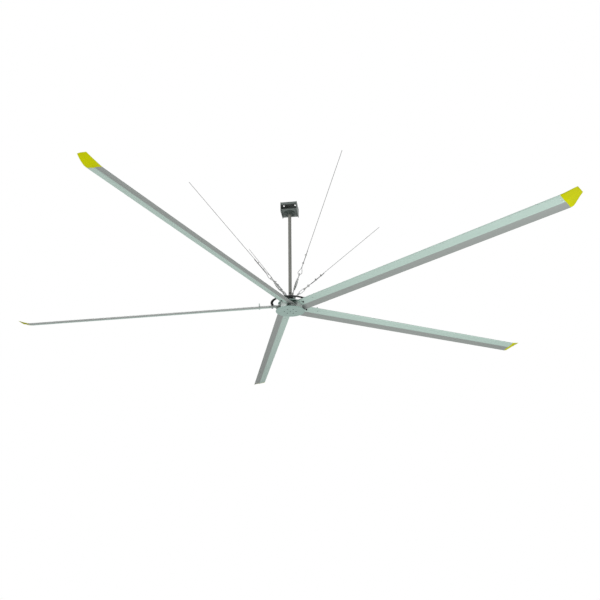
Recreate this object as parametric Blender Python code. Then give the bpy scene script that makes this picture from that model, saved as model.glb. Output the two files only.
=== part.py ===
"""Large five-bladed ceiling fan.

A bracket at the top holds a drop tube. The tube carries the fixed shaft of a direct-drive motor,
whose outer rotor is a spool hub with five extruded blades, yellow winglets and a black safety
ring. Four guy wires with turnbuckles steady the foot of the tube.
Units are metres, +Z is up, and the origin is the centre of the bracket's top face.
"""

import math

import bmesh
import bpy
from mathutils import Matrix, Vector

# Shared sizes
SEAT_GAP = 0.0003  # between two pieces that touch
OVERRUN = 0.004  # how far a cutter runs past the faces that it cuts
SMOOTH_ANGLE = math.radians(35)
COARSE_SIDES = 8
SMALL_SIDES = 12
MEDIUM_SIDES = 24
LARGE_SIDES = 36
HEX_SIDES = 6
BLADE_DROP = 1.4415  # from the bracket's top face down to the plane of the blades
RUNNING_GAP = 0.0015  # between a turning piece and a still one

# M12 bolts, used in the mast and the blades
BOLT_RADIUS = 0.006
BOLT_HOLE_RADIUS = 0.0065
BOLT_HEAD_FLATS = 0.018
BOLT_HEAD_HEIGHT = 0.0075
BOLT_NUT_HEIGHT = 0.010
BOLT_END = 0.003  # thread that stands out of a nut

# Bracket
HANGER_YAW = math.radians(-33.4)
HANGER_WIDTH = 0.215
HANGER_DEPTH = 0.215
HANGER_HEIGHT = 0.1127  # top face to the underside of the bottom plate
HANGER_PLATE = 0.008
HANGER_LIP = 0.036  # height of the folded front and back lips
HANGER_LIP_WALL = 0.006
HANGER_EAR = 0.0177  # how far the side plates hang below the bottom plate
SLOT_SPACING = 0.148
SLOT_WIDTH = 0.018
SLOT_LENGTH = 0.044
SLOT_SETBACK = 0.009

# Drop tube and its flange
TUBE_RADIUS = 0.0212
TUBE_WALL = 0.0032
TUBE_RISE = 0.028  # how far the tube stands above the bottom plate
FLANGE_RADIUS = 0.075
FLANGE_THICKNESS = 0.010
COLLAR_RADIUS = 0.0355
COLLAR_HEIGHT = 0.014
FLANGE_BOLT_COUNT = 4
FLANGE_BOLT_CIRCLE = 0.056  # radius
TOP_CROSS_BOLT_RISE = 0.013  # above the bottom plate

# Fixed shaft, heights above the plane of the blades
SHAFT_RADIUS = 0.025
SHAFT_SHOULDER_RADIUS = 0.028
SHAFT_BORE = 0.009
SHAFT_FLANGE_RADIUS = 0.036
SHAFT_FLANGE_THICKNESS = 0.012
SPIGOT_LENGTH = 0.080
GUY_PLATE_HEIGHT = 0.120
GUY_PLATE_THICKNESS = 0.006
GUY_PLATE_RADIUS = 0.070
LOWER_CROSS_BOLT_HEIGHT = 0.180

# Hub, heights above the plane of the blades
HUB_BOTTOM = -0.060
HUB_TOP_RISE = 0.023  # from the height of a blade's nose
DISC_THICKNESS = 0.008
BOTTOM_DISC_RADIUS = 0.180
TOP_DISC_RADIUS = 0.152
BOSS_RADIUS = 0.058
BOTTOM_BOSS_HEIGHT = 0.028
TOP_BOSS_HEIGHT = 0.027
NUT_POCKET_RADIUS = 0.038
NUT_POCKET_DEPTH = 0.0105
BEARING_RADIUS = 0.045
BEARING_WIDTH = 0.017
SHAFT_NUT_RADIUS = 0.034

# Motor
SHELL_RADIUS = 0.095
SHELL_WALL = 0.007
SHELL_FLOOR = 0.008
MAGNET_THICKNESS = 0.005
MAGNET_HEIGHT = 0.034
AIR_GAP = 0.0027  # between the stator and the magnets
STATOR_HEIGHT = 0.026
STATOR_YOKE_RADIUS = 0.058
TOOTH_COUNT = 9
TOOTH_WIDTH = 0.014
TOOTH_SHOE = 0.006
TOOTH_SHOE_ANGLE = math.radians(32)
COIL_THICKNESS = 0.006

# Blades: an extrusion with a square spar channel
BLADE_COUNT = 5
BLADE_PITCH = math.radians(17)
BLADE_CHORD = 0.1914
BLADE_NOSE_OFFSET = 0.047  # nose ahead of the blade's radial line
BLADE_NOSE_HEIGHT = 0.026
ROOT_CLEARANCE = 0.003  # from the rotor's shell to a blade's root
BLADE_END = 3.510
BLADE_WALL = 0.0022
CHANNEL_START = 0.021  # along the chord
CHANNEL_END = 0.090
CHANNEL_FLOOR = -0.0020  # above the chord line
CHANNEL_ROOF = 0.0152
BLADE_UPPER_SHARES = (
    (1.0, 0.006), (0.93, 0.020), (0.80, 0.044), (0.66, 0.072), (0.52, 0.098), (0.40, 0.114),
    (0.30, 0.1225), (0.21, 0.119), (0.13, 0.104), (0.07, 0.081), (0.03, 0.052), (0.008, 0.024),
)
BLADE_LOWER_SHARES = (
    (0.0, 0.0), (0.008, -0.016), (0.03, -0.027), (0.08, -0.032), (0.48, -0.032), (0.54, -0.014),
    (0.64, 0.002), (0.80, 0.009), (0.93, 0.002), (1.0, -0.006),
)
NOSE_CAVITY_SHARES = (0.035, 0.055, 0.088)
REAR_CAVITY_SHARES = (0.50, 0.60, 0.70, 0.80)

# Spar tongue, pitched seats and the bolts that clamp a blade's root
TONGUE_END = 0.430
SEAT_TAIL = 0.040  # a seat's edge on the tail side, across the blade
LOWER_SEAT_NOSE = -0.040
UPPER_SEAT_NOSE = -0.026
LOWER_SEAT_MARGIN = 0.010  # from a lower seat's end to the bottom disc's rim
CLAMP_BOLT_RADIUS = 0.005
CLAMP_BOLT_HOLE = 0.0055
CLAMP_HEAD_FLATS = 0.015
CLAMP_HEAD_HEIGHT = 0.006
CLAMP_BOLT_SHARES = (0.26, 0.74)  # of the way from the blade's root to the top disc's rim
CLAMP_BOLT_DEPTH = 0.006  # into the bottom disc
BLADE_BOLT_PLACES = (0.227, 0.390)  # along the blade
BLADE_BOLT_CHORD = 0.052  # along the chord
BLADE_BOLT_TOP = 0.061  # above the chord line

# Safety ring, height above the plane of the blades
RING_INNER = 0.213
RING_OUTER = 0.245
RING_BOTTOM = 0.048
RING_THICKNESS = 0.009
RING_SIDES = 40
RING_FOOT_RADIUS = 0.013

# Winglets: stations outward from the blade's end
WINGLET_TENON = 0.040
WINGLET_STATIONS = (  # outward, nose offset, nose height, tail offset, tail height
    (0.0003, 0.047, 0.026, -0.136, -0.030),
    (0.030, 0.046, 0.028, -0.134, -0.024),
    (0.062, 0.041, 0.035, -0.122, -0.006),
    (0.104, 0.030, 0.047, -0.104, 0.020),
    (0.148, 0.014, 0.061, -0.088, 0.046),
)
WINGLET_THICKNESS_SHARES = (1.0, 0.96, 0.80, 0.62, 0.45)

# Plug at the centre of the bottom disc
PLUG_RADIUS = 0.004
PLUG_HEAD_RADIUS = 0.0065
PLUG_HEAD = 0.003
PLUG_DEPTH = 0.005

# Guy wires: the pin's place, and distances from the pin along the wire
GUY_COUNT = 4
GUY_ANGLE = math.radians(44.3)
PIN_RADIUS = 0.005
PIN_HOLE = 0.0054
PIN_REACH = 0.0594
PIN_HEIGHT = 0.1401  # above the plane of the blades
PIN_HEAD_RADIUS = 0.008
PIN_HEAD = 0.003
LUG_THICKNESS = 0.008
LUG_RADIUS = 0.0095
JAW_CHEEK = 0.005
JAW_RADIUS = 0.0095
JAW_THROAT = 0.018
JAW_BASE = 0.028
JAW_SCREW_END = 0.106
SCREW_RADIUS = 0.006
FRAME_START = 0.070
FRAME_LENGTH = 0.149
FRAME_WIDTH = 0.036
FRAME_NECK_WIDTH = 0.022
FRAME_THICKNESS = 0.018
FRAME_RAIL = 0.008
FRAME_BOSS = 0.022
FRAME_SHOULDER = 0.036
EYE_CENTRE = 0.278
EYE_RING_RADIUS = 0.0135
EYE_BAR_RADIUS = 0.0045
EYE_SCREW_END = 0.183
EYE_SIDES = 16
ROPE_RADIUS = 0.003
ROPE_STEPS = 2  # points read from the curve between two of its own points
CLIP_PLACES = (0.431, 0.538)
CLIP_BAR_RADIUS = 0.0025
CLIP_BAR_SPACING = 0.0063  # from the rope's centre line
CLIP_SADDLE_LENGTH = 0.013
CLIP_SADDLE_WIDTH = 0.024
CLIP_SADDLE_HEIGHT = 0.005
CLIP_NUT_FLATS = 0.009
CLIP_NUT_HEIGHT = 0.0045
CLIP_THREAD = 0.005
CLIP_NAMES = ("lower", "upper")

# The rope's route in its guy's own frame: along the wire, sideways, upward. It starts at the
# dead end, goes down through the clips, round the eye, back up through the clips and out.
ROPE_ROUTE = (
    (0.600, 0.000, -0.0064), (0.538, 0.000, -0.0064), (0.484, 0.000, -0.0064),
    (0.431, 0.000, -0.0064), (0.396, -0.001, -0.0064), (0.362, -0.006, -0.0055),
    (0.334, -0.018, -0.0040), (0.312, -0.0255, -0.0025), (0.294, -0.0255, -0.0012),
    (0.285, -0.0150, -0.0003), (0.2832, 0.000, 0.0), (0.285, 0.0150, 0.0003),
    (0.294, 0.0255, 0.0010), (0.312, 0.0255, 0.0010), (0.334, 0.018, 0.0006),
    (0.362, 0.006, 0.0), (0.396, 0.001, 0.0), (0.431, 0.000, 0.0),
    (0.484, 0.000, 0.0), (0.538, 0.000, 0.0), (0.760, 0.000, 0.0),
    (1.000, 0.000, 0.0), (1.280, 0.000, 0.0), (1.570, 0.000, 0.0), (1.858, 0.000, 0.0),
)

# Sizes that follow from the ones above
BAY_FLOOR = -HANGER_HEIGHT + HANGER_PLATE  # top of the bracket's bottom plate
TUBE_INNER = TUBE_RADIUS - TUBE_WALL
TUBE_TOP = BAY_FLOOR + TUBE_RISE
GUY_PLATE_TOP = GUY_PLATE_HEIGHT + GUY_PLATE_THICKNESS
DISC_FLOOR = HUB_BOTTOM + DISC_THICKNESS  # top face of the bottom disc
HUB_TOP = BLADE_NOSE_HEIGHT + HUB_TOP_RISE
DISC_ROOF = HUB_TOP - DISC_THICKNESS  # underside of the top disc
LOWER_SEAT = DISC_FLOOR + NUT_POCKET_DEPTH  # underside of the lower bearing's seat
UPPER_BOSS_END = DISC_ROOF - TOP_BOSS_HEIGHT
STATOR_MIDDLE = (LOWER_SEAT + BEARING_WIDTH + UPPER_BOSS_END) / 2
LOWER_OUTSIDE = BLADE_LOWER_SHARES[3][1] * BLADE_CHORD  # the blade's flat underside
UPPER_OUTSIDE = BLADE_UPPER_SHARES[6][1] * BLADE_CHORD  # the crown of the blade's back
FRAME_END = FRAME_START + FRAME_LENGTH
MAGNET_OUTER = SHELL_RADIUS - SHELL_WALL - SEAT_GAP
STATOR_RADIUS = MAGNET_OUTER - MAGNET_THICKNESS - AIR_GAP
BLADE_ROOT = SHELL_RADIUS + ROOT_CLEARANCE  # from the fan's axis
CLAMP_BOLT_PLACES = [
    BLADE_ROOT + share * (TOP_DISC_RADIUS - BLADE_ROOT) for share in CLAMP_BOLT_SHARES
]
SCREW_HOLE = (SCREW_RADIUS + SEAT_GAP) / math.cos(math.pi / COARSE_SIDES)  # to a corner


# Materials

def material(name, colour, roughness, metallic):
    """A Principled material of one colour."""
    made = bpy.data.materials.new(name)
    made.use_nodes = True
    shader = made.node_tree.nodes["Principled BSDF"]
    shader.inputs["Base Color"].default_value = (*colour, 1)
    shader.inputs["Roughness"].default_value = roughness
    shader.inputs["Metallic"].default_value = metallic
    return made


# Modelling helpers

def prism(outline, low, high):
    """A solid with a flat outline of (x, y) points, from height low to height high."""
    mesh = bmesh.new()
    base = mesh.faces.new([mesh.verts.new((x, y, low)) for x, y in outline])
    grown = bmesh.ops.extrude_face_region(mesh, geom=[base])["geom"]
    moved = [item for item in grown if isinstance(item, bmesh.types.BMVert)]
    bmesh.ops.translate(mesh, verts=moved, vec=(0, 0, high - low))
    bmesh.ops.recalc_face_normals(mesh, faces=mesh.faces)
    return mesh


def block(low, high):
    """A box between two corners."""
    outline = ((low[0], low[1]), (high[0], low[1]), (high[0], high[1]), (low[0], high[1]))
    return prism(outline, low[2], high[2])


def circle(radius, sides, centre=(0, 0), start=0.0, sweep=math.tau):
    """Points round a circle, or along an arc of it that includes both ends."""
    steps = sides if sweep == math.tau else sides - 1
    angles = [start + sweep * step / steps for step in range(sides)]
    return [(centre[0] + radius * math.cos(a), centre[1] + radius * math.sin(a)) for a in angles]


def bar(radius, low, high, sides=SMALL_SIDES):
    """A round bar along Z."""
    return prism(circle(radius, sides), low, high)


def hexagon(flats, low, high):
    """A hexagonal bar along Z."""
    return bar(flats / 2 / math.cos(math.pi / HEX_SIDES), low, high, HEX_SIDES)


def turned(profile, sides):
    """A solid turned round Z from a closed profile of (radius, height) points."""
    mesh = bmesh.new()
    points = [mesh.verts.new((radius, 0, height)) for radius, height in profile]
    loop = [mesh.edges.new((a, b)) for a, b in zip(points, points[1:] + points[:1])]
    loop = [edge for edge in loop if any(vert.co.x > SEAT_GAP / 2 for vert in edge.verts)]
    bmesh.ops.spin(
        mesh, geom=loop, cent=(0, 0, 0), axis=(0, 0, 1), angle=math.tau, steps=sides,
        use_merge=True,
    )
    bmesh.ops.remove_doubles(mesh, verts=mesh.verts, dist=SEAT_GAP / 10)
    loose = [edge for edge in mesh.edges if not edge.link_faces]
    bmesh.ops.delete(mesh, geom=loose, context="EDGES")
    bmesh.ops.recalc_face_normals(mesh, faces=mesh.faces)
    return mesh


def lofted(rings):
    """A solid through rings of points that have the same number of points each."""
    mesh = bmesh.new()
    rows = [[mesh.verts.new(point) for point in ring] for ring in rings]
    for near, far in zip(rows, rows[1:]):
        for a, b, c, d in zip(near, near[1:] + near[:1], far[1:] + far[:1], far):
            mesh.faces.new((a, b, c, d))
    mesh.faces.new(rows[0])
    mesh.faces.new(rows[-1])
    bmesh.ops.recalc_face_normals(mesh, faces=mesh.faces)
    return mesh


def placed(mesh, matrix):
    """The mesh, moved by a matrix."""
    bmesh.ops.transform(mesh, matrix=matrix, verts=mesh.verts)
    return mesh


def joined(parts):
    """Several meshes as one, their solids kept apart."""
    whole = bmesh.new()
    for part in parts:
        data = bpy.data.meshes.new("part")
        part.to_mesh(data)
        part.free()
        whole.from_mesh(data)
        bpy.data.meshes.remove(data)
    return whole


def combined(mesh, tool, operation="DIFFERENCE"):
    """The mesh after an exact Boolean with the tool's mesh."""
    pair = []
    for source in (mesh, tool):
        data = bpy.data.meshes.new("work")
        source.to_mesh(data)
        source.free()
        work = bpy.data.objects.new("work", data)
        bpy.context.collection.objects.link(work)
        pair.append(work)
    body, cutter = pair
    cutter.display_type = "WIRE"
    cutter.hide_render = True
    boolean = body.modifiers.new("cut", "BOOLEAN")
    boolean.operation = operation
    boolean.solver = "EXACT"
    boolean.object = cutter
    bpy.context.view_layer.update()
    evaluated = body.evaluated_get(bpy.context.evaluated_depsgraph_get())
    result = bmesh.new()
    result.from_mesh(evaluated.to_mesh())
    evaluated.to_mesh_clear()
    for work in pair:
        data = work.data
        bpy.data.objects.remove(work)
        bpy.data.meshes.remove(data)
    bmesh.ops.dissolve_limit(
        result, angle_limit=math.radians(0.05), verts=result.verts, edges=result.edges
    )
    return result


def mesh_data(name, mesh):
    """Mesh data from a bmesh, smooth with sharp edges."""
    data = bpy.data.meshes.new(name)
    mesh.to_mesh(data)
    mesh.free()
    data.shade_smooth()
    data.set_sharp_from_angle(angle=SMOOTH_ANGLE)
    return data


def node(name, data, finish, parent):
    """One named object of the fan, under the empty that places it."""
    if not data.materials:
        data.materials.append(finish)
    made = bpy.data.objects.new(name, data)
    bpy.context.collection.objects.link(made)
    made.parent = parent
    return made


def solid(name, mesh, finish, parent):
    """One named object from a bmesh."""
    return node(name, mesh_data(name, mesh), finish, parent)


def frame_at(name, location, rotation=(0, 0, 0), parent=None):
    """An empty that places the pieces under it."""
    made = bpy.data.objects.new(name, None)
    bpy.context.collection.objects.link(made)
    made.location = location
    made.rotation_euler = rotation
    made.parent = parent
    return made


def across(radius, centre, reach, sides=SMALL_SIDES):
    """A bar along Y with its middle at a point."""
    turn = Matrix.Translation(centre) @ Matrix.Rotation(math.pi / 2, 4, "X")
    return placed(bar(radius, -reach, reach, sides), turn)


def hex_bolt(grip, end=BOLT_END):
    """An M12 bolt with its nut, along Z, its head under height 0 and its nut above the grip."""
    shank = bar(BOLT_RADIUS, -SEAT_GAP - OVERRUN, grip + BOLT_NUT_HEIGHT + end, COARSE_SIDES)
    head = hexagon(BOLT_HEAD_FLATS, -SEAT_GAP - BOLT_HEAD_HEIGHT, -SEAT_GAP)
    nut = hexagon(BOLT_HEAD_FLATS, grip + SEAT_GAP, grip + SEAT_GAP + BOLT_NUT_HEIGHT)
    return united([shank, head, nut])


def united(parts):
    """Several overlapping meshes as one body."""
    whole = parts[0]
    for part in parts[1:]:
        whole = combined(whole, part, "UNION")
    return whole


def turned_copies(mesh, count):
    """The mesh and its copies at even angles round Z, their solids kept apart."""
    copies = [placed(mesh.copy(), Matrix.Rotation(math.tau * n / count, 4, "Z")) for n in range(count)]
    mesh.free()
    return joined(copies)


# Bracket

def hanger_top_plate():
    """The folded top plate with its two mounting slots."""
    half = HANGER_WIDTH / 2 - HANGER_PLATE - SEAT_GAP
    depth = HANGER_DEPTH / 2
    outline = (
        (-depth, 0), (-depth, -HANGER_LIP), (-depth + HANGER_LIP_WALL, -HANGER_LIP),
        (-depth + HANGER_LIP_WALL, -HANGER_PLATE), (depth - HANGER_LIP_WALL, -HANGER_PLATE),
        (depth - HANGER_LIP_WALL, -HANGER_LIP), (depth, -HANGER_LIP), (depth, 0),
    )
    plate = prism(outline, -half, half)
    plate = placed(plate, Matrix(((0, 0, 1, 0), (1, 0, 0, 0), (0, 1, 0, 0), (0, 0, 0, 1))))
    slots = joined([slot(side * SLOT_SPACING / 2) for side in (-1, 1)])
    return combined(plate, slots)


def slot(x):
    """A cutter for one mounting slot, round at both ends."""
    radius = SLOT_WIDTH / 2
    reach = SLOT_LENGTH / 2 - radius
    ahead = circle(radius, HEX_SIDES, (x, -SLOT_SETBACK + reach), 0, math.pi)
    behind = circle(radius, HEX_SIDES, (x, -SLOT_SETBACK - reach), math.pi, math.pi)
    return prism(ahead + behind, -HANGER_PLATE - OVERRUN, OVERRUN)


def hanger_side_plate(side):
    """One side plate, which ends in an ear below the bottom plate."""
    inner = side * (HANGER_WIDTH / 2 - HANGER_PLATE)
    outer = side * HANGER_WIDTH / 2
    depth = HANGER_DEPTH / 2
    low, high = min(inner, outer), max(inner, outer)
    return block((low, -depth, -HANGER_HEIGHT - HANGER_EAR), (high, depth, 0))


def flange_bolt_points():
    """The flange's bolt centres, on the diagonals."""
    start = math.pi / FLANGE_BOLT_COUNT
    return circle(FLANGE_BOLT_CIRCLE, FLANGE_BOLT_COUNT, start=start)


def hanger_bottom_plate():
    """The bottom plate, bored for the tube and the flange's bolts."""
    half = HANGER_WIDTH / 2 - HANGER_PLATE - SEAT_GAP
    depth = HANGER_DEPTH / 2
    plate = block((-half, -depth, -HANGER_HEIGHT), (half, depth, BAY_FLOOR))
    low, high = -HANGER_HEIGHT - OVERRUN, BAY_FLOOR + OVERRUN
    holes = [bar(TUBE_RADIUS + SEAT_GAP, low, high, MEDIUM_SIDES)]
    for x, y in flange_bolt_points():
        hole = bar(BOLT_HOLE_RADIUS, low, high, COARSE_SIDES)
        holes.append(placed(hole, Matrix.Translation((x, y, 0))))
    return combined(plate, joined(holes))


def tube_flange():
    """The round flange under the bracket, with its collar round the tube and its four bolts."""
    top = -HANGER_HEIGHT - SEAT_GAP
    face = top - FLANGE_THICKNESS
    bore = TUBE_RADIUS + SEAT_GAP
    profile = (
        (bore, top), (FLANGE_RADIUS, top), (FLANGE_RADIUS, face), (COLLAR_RADIUS, face),
        (COLLAR_RADIUS, face - COLLAR_HEIGHT), (bore, face - COLLAR_HEIGHT),
    )
    parts = [turned(profile, MEDIUM_SIDES)]
    for x, y in flange_bolt_points():
        head = face + SEAT_GAP * 2
        bolt = hex_bolt(BAY_FLOOR - head)
        parts.append(placed(bolt, Matrix.Translation((x, y, head))))
    return united(parts)


def cross_bolt(height):
    """A bolt through the tube, its head on the side of the bracket's open front."""
    turn = Matrix.Translation((0, -TUBE_RADIUS, height)) @ Matrix.Rotation(-math.pi / 2, 4, "X")
    return placed(hex_bolt(TUBE_RADIUS * 2), turn)


def drop_tube():
    """The tube, bored through for its two cross bolts."""
    low = GUY_PLATE_TOP + SEAT_GAP - BLADE_DROP
    profile = (
        (TUBE_INNER, low), (TUBE_RADIUS, low), (TUBE_RADIUS, TUBE_TOP), (TUBE_INNER, TUBE_TOP)
    )
    reach = TUBE_RADIUS + OVERRUN
    holes = [
        across(BOLT_HOLE_RADIUS, (0, 0, BAY_FLOOR + TOP_CROSS_BOLT_RISE), reach, COARSE_SIDES),
        across(BOLT_HOLE_RADIUS, (0, 0, LOWER_CROSS_BOLT_HEIGHT - BLADE_DROP), reach, COARSE_SIDES),
    ]
    return combined(turned(profile, MEDIUM_SIDES), joined(holes))


# Fixed shaft and motor

def motor_shaft():
    """The hollow shaft: journal, shoulder, flange under the guy plate and spigot in the tube."""
    low = DISC_FLOOR + RUNNING_GAP
    shoulder = LOWER_SEAT + BEARING_WIDTH + SEAT_GAP * 2
    shoulder_end = UPPER_BOSS_END - SEAT_GAP
    flange = GUY_PLATE_HEIGHT - SEAT_GAP
    spigot = TUBE_INNER - SEAT_GAP
    top = GUY_PLATE_TOP + SPIGOT_LENGTH
    profile = (
        (SHAFT_BORE, low), (SHAFT_RADIUS, low), (SHAFT_RADIUS, shoulder),
        (SHAFT_SHOULDER_RADIUS, shoulder), (SHAFT_SHOULDER_RADIUS, shoulder_end),
        (SHAFT_RADIUS, shoulder_end), (SHAFT_RADIUS, flange - SHAFT_FLANGE_THICKNESS),
        (SHAFT_FLANGE_RADIUS, flange - SHAFT_FLANGE_THICKNESS), (SHAFT_FLANGE_RADIUS, flange),
        (spigot, flange), (spigot, top), (SHAFT_BORE, top),
    )
    centre = (0, 0, LOWER_CROSS_BOLT_HEIGHT)
    hole = across(BOLT_HOLE_RADIUS, centre, SHAFT_RADIUS, COARSE_SIDES)
    hole = placed(hole, Matrix.Rotation(HANGER_YAW, 4, "Z"))
    return combined(turned(profile, MEDIUM_SIDES), hole)


def bearing(low):
    """A ball bearing as one ring."""
    bore, high = SHAFT_RADIUS + SEAT_GAP, low + BEARING_WIDTH
    profile = ((bore, low), (BEARING_RADIUS, low), (BEARING_RADIUS, high), (bore, high))
    return turned(profile, MEDIUM_SIDES)


def shaft_nut():
    """The ring nut that holds the rotor on the shaft."""
    low = DISC_FLOOR + RUNNING_GAP
    bore, high = SHAFT_RADIUS + SEAT_GAP, LOWER_SEAT
    profile = ((bore, low), (SHAFT_NUT_RADIUS, low), (SHAFT_NUT_RADIUS, high), (bore, high))
    return turned(profile, MEDIUM_SIDES)


def motor_stator():
    """The laminated stator with its teeth."""
    outline = []
    for tooth in range(TOOTH_COUNT):
        turn = math.tau * tooth / TOOTH_COUNT
        neck = TOOTH_WIDTH / 2
        shoe = STATOR_RADIUS - TOOTH_SHOE
        half = TOOTH_SHOE_ANGLE / 2
        arc = circle(STATOR_RADIUS, HEX_SIDES // 2, start=-half, sweep=TOOTH_SHOE_ANGLE)
        lip = [(shoe * math.cos(half), shoe * math.sin(half))]
        points = [(STATOR_YOKE_RADIUS, -neck), (shoe, -neck), (lip[0][0], -lip[0][1])]
        points += arc + lip + [(shoe, neck), (STATOR_YOKE_RADIUS, neck)]
        cos, sin = math.cos(turn), math.sin(turn)
        outline += [(x * cos - y * sin, x * sin + y * cos) for x, y in points]
    low = STATOR_MIDDLE - STATOR_HEIGHT / 2
    high = STATOR_MIDDLE + STATOR_HEIGHT / 2
    bore = bar(SHAFT_SHOULDER_RADIUS + SEAT_GAP, low - OVERRUN, high + OVERRUN, MEDIUM_SIDES)
    return combined(prism(outline, low, high), bore)


def stator_windings():
    """The coils round the teeth, which touch in the slots and make one potted ring."""
    start = BOSS_RADIUS + RUNNING_GAP
    end = (STATOR_RADIUS - TOOTH_SHOE - SEAT_GAP) * math.cos(TOOTH_SHOE_ANGLE / 2)
    top = STATOR_HEIGHT / 2 + SEAT_GAP
    reach = top + COIL_THICKNESS
    neck = TOOTH_WIDTH / 2 + SEAT_GAP
    ring = turned(((start, -reach), (end, -reach), (end, reach), (start, reach)), LARGE_SIDES)
    tooth = block((start - OVERRUN, -neck, -top), (end + OVERRUN, neck, top))
    ring = combined(ring, turned_copies(tooth, TOOTH_COUNT))
    return placed(ring, Matrix.Translation((0, 0, STATOR_MIDDLE)))


def rotor_shell():
    """The cup of the outer rotor, between the two discs."""
    low, high = DISC_FLOOR + SEAT_GAP, DISC_ROOF - SEAT_GAP
    inner, floor = SHELL_RADIUS - SHELL_WALL, low + SHELL_FLOOR
    bore = BOSS_RADIUS + SEAT_GAP
    profile = (
        (bore, low), (SHELL_RADIUS, low), (SHELL_RADIUS, high), (inner, high), (inner, floor),
        (bore, floor),
    )
    return turned(profile, LARGE_SIDES)


def rotor_magnets():
    """The ring magnet inside the cup."""
    outer = MAGNET_OUTER
    inner = outer - MAGNET_THICKNESS
    low = STATOR_MIDDLE - MAGNET_HEIGHT / 2
    high = low + MAGNET_HEIGHT
    return turned(((inner, low), (outer, low), (outer, high), (inner, high)), LARGE_SIDES)


# Hub

def clamp_holes(low, high):
    """Cutters for the bolts that clamp the blades' roots."""
    holes = [
        placed(bar(CLAMP_BOLT_HOLE, low, high, COARSE_SIDES), Matrix.Translation((place, 0, 0)))
        for place in CLAMP_BOLT_PLACES
    ]
    return turned_copies(joined(holes), BLADE_COUNT)


def pitched_seats(nose, end, level, across_height):
    """Pitched seats on a disc for the blades' roots, up to a plane along each blade's chord."""
    rise = math.tan(BLADE_PITCH)
    edge = BLADE_NOSE_HEIGHT + across_height / math.cos(BLADE_PITCH)
    outline = [(y, edge - rise * (y + BLADE_NOSE_OFFSET)) for y in (nose, SEAT_TAIL)]
    outline += [(SEAT_TAIL, level), (nose, level)]
    axes = Matrix(((0, 0, 1, 0), (1, 0, 0, 0), (0, 1, 0, 0), (0, 0, 0, 1)))
    return turned_copies(placed(prism(outline, BLADE_ROOT, end), axes), BLADE_COUNT)


def hub_bottom_disc():
    """The closed bottom disc with the lower bearing's boss and the blades' lower seats."""
    seat = BEARING_RADIUS + SEAT_GAP
    boss = DISC_FLOOR + BOTTOM_BOSS_HEIGHT
    profile = (
        (0, HUB_BOTTOM), (BOTTOM_DISC_RADIUS, HUB_BOTTOM), (BOTTOM_DISC_RADIUS, DISC_FLOOR),
        (BOSS_RADIUS, DISC_FLOOR), (BOSS_RADIUS, boss), (seat, boss), (seat, LOWER_SEAT),
        (NUT_POCKET_RADIUS, LOWER_SEAT), (NUT_POCKET_RADIUS, DISC_FLOOR), (0, DISC_FLOOR),
    )
    disc = turned(profile, LARGE_SIDES)
    level = DISC_FLOOR - DISC_THICKNESS / 2
    end = BOTTOM_DISC_RADIUS - LOWER_SEAT_MARGIN
    seats = pitched_seats(LOWER_SEAT_NOSE, end, level, LOWER_OUTSIDE - SEAT_GAP)
    disc = combined(disc, seats, "UNION")
    low = DISC_FLOOR - CLAMP_BOLT_DEPTH - SEAT_GAP
    disc = combined(disc, clamp_holes(low, DISC_ROOF))
    low, high = HUB_BOTTOM - OVERRUN, HUB_BOTTOM + PLUG_DEPTH + SEAT_GAP
    return combined(disc, bar(PLUG_RADIUS + SEAT_GAP, low, high, COARSE_SIDES))


def hub_top_disc():
    """The top disc with the upper bearing's boss and the blades' upper seats."""
    seat = BEARING_RADIUS + SEAT_GAP
    lip = UPPER_BOSS_END + BEARING_WIDTH + SEAT_GAP
    profile = (
        (NUT_POCKET_RADIUS, HUB_TOP), (NUT_POCKET_RADIUS, lip), (seat, lip),
        (seat, UPPER_BOSS_END), (BOSS_RADIUS, UPPER_BOSS_END), (BOSS_RADIUS, DISC_ROOF),
        (TOP_DISC_RADIUS, DISC_ROOF), (TOP_DISC_RADIUS, HUB_TOP),
    )
    disc = turned(profile, LARGE_SIDES)
    level = DISC_ROOF + DISC_THICKNESS / 2
    end = TOP_DISC_RADIUS * math.cos(math.asin(SEAT_TAIL / TOP_DISC_RADIUS)) - OVERRUN
    seats = pitched_seats(UPPER_SEAT_NOSE, end, level, UPPER_OUTSIDE + SEAT_GAP)
    disc = combined(disc, seats, "UNION")
    return combined(disc, clamp_holes(DISC_FLOOR, HUB_TOP + OVERRUN))


def hub_plug():
    """The plug at the centre of the bottom disc."""
    seat = HUB_BOTTOM - SEAT_GAP
    profile = (
        (0, seat - PLUG_HEAD), (PLUG_HEAD_RADIUS, seat - PLUG_HEAD), (PLUG_HEAD_RADIUS, seat),
        (PLUG_RADIUS, seat), (PLUG_RADIUS, HUB_BOTTOM + PLUG_DEPTH), (0, HUB_BOTTOM + PLUG_DEPTH),
    )
    return turned(profile, SMALL_SIDES)


# Blade, in its own frame: X outward, Y from nose to tail, Z up

def section_matrix():
    """From the section's frame (X outward, Y along the chord, Z across it) to the blade's."""
    place = Matrix.Translation((0, -BLADE_NOSE_OFFSET, BLADE_NOSE_HEIGHT))
    return place @ Matrix.Rotation(-BLADE_PITCH, 4, "X")


def section_prism(outline, start, end):
    """A prism along the blade with an outline of (along the chord, across it) points."""
    axes = Matrix(((0, 0, 1, 0), (1, 0, 0, 0), (0, 1, 0, 0), (0, 0, 0, 1)))
    return placed(prism(outline, start, end), section_matrix() @ axes)


def outline_height(shares, chord_share):
    """The height share of an outline's upper or lower line at a share of the chord."""
    points = sorted(shares)
    for (x0, y0), (x1, y1) in zip(points, points[1:]):
        if x0 <= chord_share <= x1:
            return y0 + (y1 - y0) * (chord_share - x0) / (x1 - x0)
    return points[-1][1]


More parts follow.
